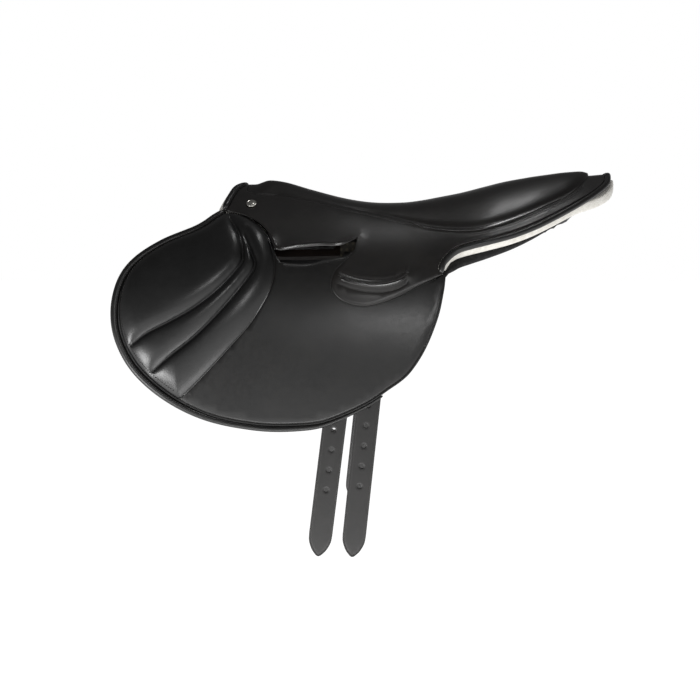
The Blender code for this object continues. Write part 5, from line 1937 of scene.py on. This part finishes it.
@dataclass
class Underlay:
    """White felt over the back and the black padded panels under it.

    Args:
        felt_inset: Distance of the felt's edge from the cantle binding.
        felt_past_cantle: How far it looks out behind the cantle.
        felt_side: Way down the side at which the rear edge ends.
        felt_low: Front and lower edge of the felt, as (x, t).
        felt_spacing: Distance between the felt's inner points.
        fuzz: Random height of its points.
        panel_low: Front and lower edge of a panel, as (x, height).
        panel_gullet: Edge beside the gullet, as (x, t).
        panel_thickness: Thickness of a panel.
        panel_spacing: Distance between a panel's inner points.
        panel_thinning: Share of the thickness that its rear end loses.
    """

    felt_inset: float = 10.0
    felt_past_cantle: float = 2.5
    felt_side: float = 97.0
    felt_spacing: float = 6.0
    fuzz: float = 0.12
    felt_low: tuple = (
        (-227, 34), (-215, 45), (-206, 60), (-192, 78), (-150, 87), (-60, 88), (0, 87), (44, 86),
    )
    panel_low: tuple = (
        (20, -46), (-40, -66), (-110, -74), (-170, -62), (-199, -34), (-208, -4), (-207, 16),
    )
    panel_gullet: tuple = ((-204, 17), (-100, 18), (0, 22), (120, 20), (190, 15), (246, 10))
    panel_thickness: float = 5.0
    panel_spacing: float = 4.5
    panel_thinning: float = 0.75

    def felt(self) -> None:
        """Makes the felt."""
        line = LAYERS.cantle_line(5)
        inset = self.felt_inset - (self.felt_inset + self.felt_past_cantle) * smoothstep(line[:, 0], 215, 266)
        rear = FORM.aside(line, inset)
        rear = rear[(rear[:, 1] > 3) & (rear[:, 1] < self.felt_side)]
        low = smooth_line(self.felt_low, 6)
        t = np.arange(0.0, 37.0, 4.0)
        top = np.stack((LAYERS.rim_x(t) - 4.5, t), axis=1)
        end = np.array([(LAYERS.cantle_rim[-1][0] + self.felt_past_cantle, 0.0)])
        near = joined(top, low, rear, end)
        off = near[::-1][np.abs(near[::-1][:, 1]) > 0.1] * (1, -1)
        outline = joined(near, off)
        net = Net(outline, self.felt_spacing, (), (), rims=(1.2, 3.0))
        depth = LAYERS.stack_depth(net.places)
        normals = FORM.normals(net.places + (0.0, 0.01))
        fuzz = np.random.default_rng(4).normal(0, self.fuzz, len(depth))
        top_skin = FORM.points(net.places, depth) + normals * (fuzz - 0.15)[:, None]
        bottom = FORM.points(net.places, depth + LAYERS.felt_thickness)
        shell = Shell.between(net, top_skin, bottom, 1.3, rings=5)
        felt = make_piece(
            "felt_pad", shell, Finishes.felt, "saddle", replaces=("felt_underlay",)
        )

    def panel(self, side: Side) -> None:
        """Makes one panel.

        Args:
            side: Side of the horse.
        """
        line = LAYERS.cantle_line(5)
        inset = 3.0 + 9.5 * smoothstep(line[:, 0], 60, 190)
        rear = FORM.aside(line, inset)[::-1]
        rear = rear[(rear[:, 0] > 58) & (rear[:, 0] < 250) & (rear[:, 1] > self.panel_gullet[-1][1] + 4)]
        front = np.array([self._under_felt(x, z) for x, z in self.panel_low])
        low = smooth_line(np.vstack((rear[-1:], front)), 6)
        outline = joined(rear, low, smooth_line(self.panel_gullet, 6))
        net = Net(outline, self.panel_spacing, (), (), rims=(1.2, 3.0, 5.5))
        above = LAYERS.stack_depth(net.places) + LAYERS.felt_thickness + 0.6
        to_edge = distance_to(net.places, outline, True)
        swell = 0.95 + 0.3 * (1 - np.exp(-to_edge / 12.0)) + 0.05 * ripple(net.places)
        swell *= 1 - self.panel_thinning * smoothstep(net.places[:, 0], 140, 225)
        below = above + self.panel_thickness * swell
        upper, lower = FORM.points(net.places, above), FORM.points(net.places, below)
        shell = Shell.between(net, upper, lower, 1.4, rings=5)
        word = side.value
        panel = make_piece(
            f"{word}_panel_pad", shell, Finishes.lining, "saddle", side,
            replaces=(f"{word}_panel",),
        )

    @staticmethod
    def _under_felt(x: float, height: float) -> np.ndarray:
        """Place just below the felt, as a side view shows it.

        Args:
            x: Place along the saddle.
            height: Height of the place.

        Returns:
            The place.
        """
        place = FORM.at_height([(x, height)], 20.0)
        for _ in range(12):
            place = FORM.at_height([(x, height)], LAYERS.stack_depth(place) + LAYERS.felt_thickness)
        return place[0]


@dataclass
class SweatFlap:
    """Under flap between the billets and the horse.

    Args:
        inset: Distance of its edge from the flap's outer line.
        leather: Thickness of the leather.
        top: Top edge, as (x, height).
    """

    inset: float = 15.0
    leather: float = 2.2
    top: tuple = (
        (29, -29), (0, -16), (-30, -9), (-36, 3), (-76, 4), (-82, -7), (-170, -9), (-216, -10), (-250, -5),
        (-288, -4),
    )

    def build(self, side: Side) -> None:
        """Makes the sweat flap.

        Args:
            side: Side of the horse.
        """
        depth = LAYERS.sweat_depth
        edge = FORM.aside(smooth_line(FORM.at_height(LAYERS.flap_rim), 6), self.inset)
        heights = FORM.points(edge)[:, 2]
        edge = FORM.at_height(np.stack((edge[:, 0], heights), axis=1), depth)
        z = FORM.points(edge, depth)[:, 2]
        edge = edge[z < np.where(edge[:, 0] > 0, -40, -8)]
        top = smooth_line(FORM.at_height(self.top, depth), 6)
        row = FORM.aside(edge, 4.0)[3:-3]
        sheet = SewnSheet(joined(edge, top), depth, self.leather, 10.0, (), [row], wave=0.3)
        word = side.value
        make_piece(
            f"{word}_sweat_flap_leather", sheet.shell(), Finishes.flap, "saddle", side,
            replaces=(f"{word}_sweat_flap",),
        )
        stitching = Stitching()
        sheet.sew(stitching)
        stitching.finish(f"{word}_sweat_flap_stitches", "saddle", "smooth_leather", side)


@dataclass
class HeadNail:
    """Domed nickel nail at the front of the skirt.

    Args:
        place: Its place, as (x, height).
        profile: Its outline from the crown to the shank, as (radius, height above the leather).
        sides: Sides of its round.
    """

    place: tuple = (-194.0, 60.0)
    profile: tuple = (
        (0.0, 2.5), (1.6, 2.45), (3.1, 2.2), (4.1, 1.8), (4.6, 1.7), (5.1, 2.0), (5.7, 2.1), (6.3, 1.7),
        (6.7, 1.0), (6.6, 0.4), (6.2, 0.0), (1.7, 0.0), (1.7, -8.0), (0.0, -8.0),
    )
    sides: int = 40

    def build(self, side: Side) -> None:
        """Makes the nail.

        Args:
            side: Side of the horse.
        """
        place = FORM.at_height([self.place])
        normal = FORM.normals(place)[0]
        across = unit(np.cross(normal, (1.0, 0.0, 0.0)))
        forward = np.cross(across, normal)
        centre = FORM.points(place)[0] + normal * (LAYERS.gap + 0.2)
        points, rings = [], []
        for radius, height in self.profile:
            count = 1 if radius == 0 else self.sides
            ring = []
            for k in range(count):
                turn = 2 * math.pi * k / count
                ring.append(len(points))
                points.append(
                    centre + normal * height + radius * (forward * math.cos(turn) + across * math.sin(turn))
                )
            rings.append(ring)
        faces = []
        for a, b in zip(rings, rings[1:]):
            for k in range(self.sides):
                m = (k + 1) % self.sides
                corners = [a[k % len(a)], a[m % len(a)], b[m % len(b)], b[k % len(b)]]
                faces.append(tuple(dict.fromkeys(corners)))
        word = side.value
        make_piece(
            f"{word}_head_nail", Shell(points, faces), Finishes.nickel, "saddle", side,
            replaces=(f"{word}_head_stud",),
        )


class Tree:
    """The frame's own rigid pieces, which keep their shape and get their finish."""

    finishes = {
        "head_arch": Finishes.steel, "cantle_plate": Finishes.laminate,
        "seat_web_front": Finishes.canvas, "seat_web_middle": Finishes.canvas,
        "seat_web_rear": Finishes.canvas,
        "rail": Finishes.laminate, "stirrup_bar": Finishes.steel, "bar_rivet_front": Finishes.steel,
        "bar_rivet_rear": Finishes.steel, "girth_web": Finishes.canvas,
    }

    def dress(self) -> None:
        """Gives each of them its material."""
        for name, node in frame["nodes"].items():
            finish = self.finishes.get(name.removeprefix("near_").removeprefix("off_"))
            if finish is None:
                continue
            node.data.materials.clear()
            node.data.materials.append(finish.material())
            LOG.info("%s dressed", name)


@dataclass
class Studio:
    """Plain pale floor, soft light and the camera, in metres.

    Args:
        camera_at: Where the camera stands.
        camera_to: Where it looks.
        lens: Focal length, in mm.
        sensor: Width of the sensor, in mm.
        floor_height: Height of the floor.
        floor_size: Half width of the floor.
        sky: Brightness of the surroundings from below and from above.
        softboxes: Name, place, target, width and height, and power of each lamp.
    """

    camera_at: tuple = (-0.0499, -1.5626, 0.0701)
    camera_to: tuple = (-0.069, 0.0, -0.134)
    lens: float = 60.58
    sensor: float = 36.0
    floor_height: float = -0.62
    floor_size: float = 8.0
    sky: tuple = (0.45, 0.10)
    softboxes: tuple = (
        ("key_softbox", (0.15, -1.9, 0.42), (-0.05, 0.0, -0.1), (0.42, 0.28), 3.1),
        ("top_softbox", (0.2, -0.16, 1.1), (0.08, -0.1, 0.0), (0.5, 0.09), 1.9),
        ("low_left_softbox", (-0.8, -0.75, -0.45), (-0.25, -0.1, -0.1), (0.35, 0.25), 4.0),
        ("low_front_softbox", (-0.08, -0.5, -0.52), (-0.08, -0.1, 0.0), (0.5, 0.12), 0.9),
    )

    def build(self) -> None:
        """Makes the studio."""
        scene = bpy.context.scene
        camera = bpy.data.objects.new("camera", bpy.data.cameras.new("camera"))
        scene.collection.objects.link(camera)
        camera.data.lens, camera.data.sensor_width = self.lens, self.sensor
        camera.location = self.camera_at
        camera.rotation_euler = self._towards(self.camera_at, self.camera_to)
        scene.camera = camera
        scene.view_settings.view_transform = "Standard"
        scene.view_settings.look = "None"
        self._floor()
        self._world()
        for softbox in self.softboxes:
            self._softbox(*softbox)

    @staticmethod
    def _towards(at: tuple, to: tuple) -> Euler:
        """Turn of a camera or lamp that stands at one point and looks to another."""
        return (Vector(to) - Vector(at)).to_track_quat("-Z", "Y").to_euler()

    def _floor(self) -> None:
        """Pale floor below the saddle."""
        mesh = bpy.data.meshes.new("floor")
        size, z = self.floor_size, self.floor_height
        corners = [(-size, -size, z), (size, -size, z), (size, size, z), (-size, size, z)]
        mesh.from_pydata(corners, [], [(0, 1, 2, 3)])
        floor = bpy.data.objects.new("floor", mesh)
        bpy.context.scene.collection.objects.link(floor)
        material = bpy.data.materials.new("pale_studio_floor")
        material.use_nodes = True
        tree = material.node_tree
        tree.nodes.clear()
        shader = add_node(
            tree, "ShaderNodeBsdfPrincipled",
            values={
                "Base Color": linear("#fbfbfa"), "Roughness": 0.9, "Emission Color": (1, 1, 1, 1),
                "Emission Strength": 0.95,
            },
        )
        add_node(tree, "ShaderNodeOutputMaterial", {"Surface": shader.outputs[0]})
        mesh.materials.append(material)

    def _world(self) -> None:
        """White surroundings for the view, softer for the light that falls on the saddle."""
        world = bpy.data.worlds.new("studio")
        bpy.context.scene.world = world
        world.use_nodes = True
        tree = world.node_tree
        tree.nodes.clear()
        seen = add_node(tree, "ShaderNodeBackground", values={"Color": (1, 1, 1, 1), "Strength": 1.0})
        direction = add_node(tree, "ShaderNodeTexCoord").outputs["Generated"]
        height = add_node(tree, "ShaderNodeSeparateXYZ", {0: direction}).outputs["Z"]
        ramp = add_node(tree, "ShaderNodeValToRGB", {"Fac": add_node(
            tree, "ShaderNodeMapRange", {"Value": height}, {"From Min": -1.0, "From Max": 1.0}
        ).outputs[0]})
        for element, grey in zip(ramp.color_ramp.elements, self.sky):
            element.color = (grey, grey, grey, 1)
        ramp.color_ramp.elements[0].position, ramp.color_ramp.elements[1].position = 0.35, 0.75
        lit = add_node(tree, "ShaderNodeBackground", {"Color": ramp.outputs["Color"]}, {"Strength": 1.0})
        path = add_node(tree, "ShaderNodeLightPath").outputs["Is Camera Ray"]
        mixed = add_node(tree, "ShaderNodeMixShader", {0: path, 1: lit.outputs[0], 2: seen.outputs[0]})
        add_node(tree, "ShaderNodeOutputWorld", {"Surface": mixed.outputs[0]})

    @staticmethod
    def _softbox(name: str, at: tuple, to: tuple, size: tuple, watts: float) -> None:
        """Adds a rectangular softbox.

        Args:
            name: Its name.
            at: Where it stands.
            to: Where it faces.
            size: Its width and height.
            watts: Its power.
        """
        light = bpy.data.lights.new(name, "AREA")
        light.shape, light.size, light.size_y, light.energy = "RECTANGLE", size[0], size[1], watts
        obj = bpy.data.objects.new(name, light)
        obj.location = at
        obj.rotation_euler = Studio._towards(at, to)
        bpy.context.scene.collection.objects.link(obj)


def main() -> None:
    """Builds the looks of the saddle and the studio."""
    logging.basicConfig(level=logging.INFO, format="%(name)s: %(message)s")
    Studio().build()
    Tree().dress()
    Seat().build()
    Bindings().build()
    Underlay().felt()
    for side in Side:
        Skirt().build(side)
        Flap().build(side)
        SweatFlap().build(side)
        HeadNail().build(side)
        Underlay().panel(side)
        Strap("front", (-61.8, -10.0), 7.1, 284.0).build(side)
        Strap("rear", (-26.4, -10.0), 6.0, 278.5).build(side)


if __name__ == "__main__":
    main()
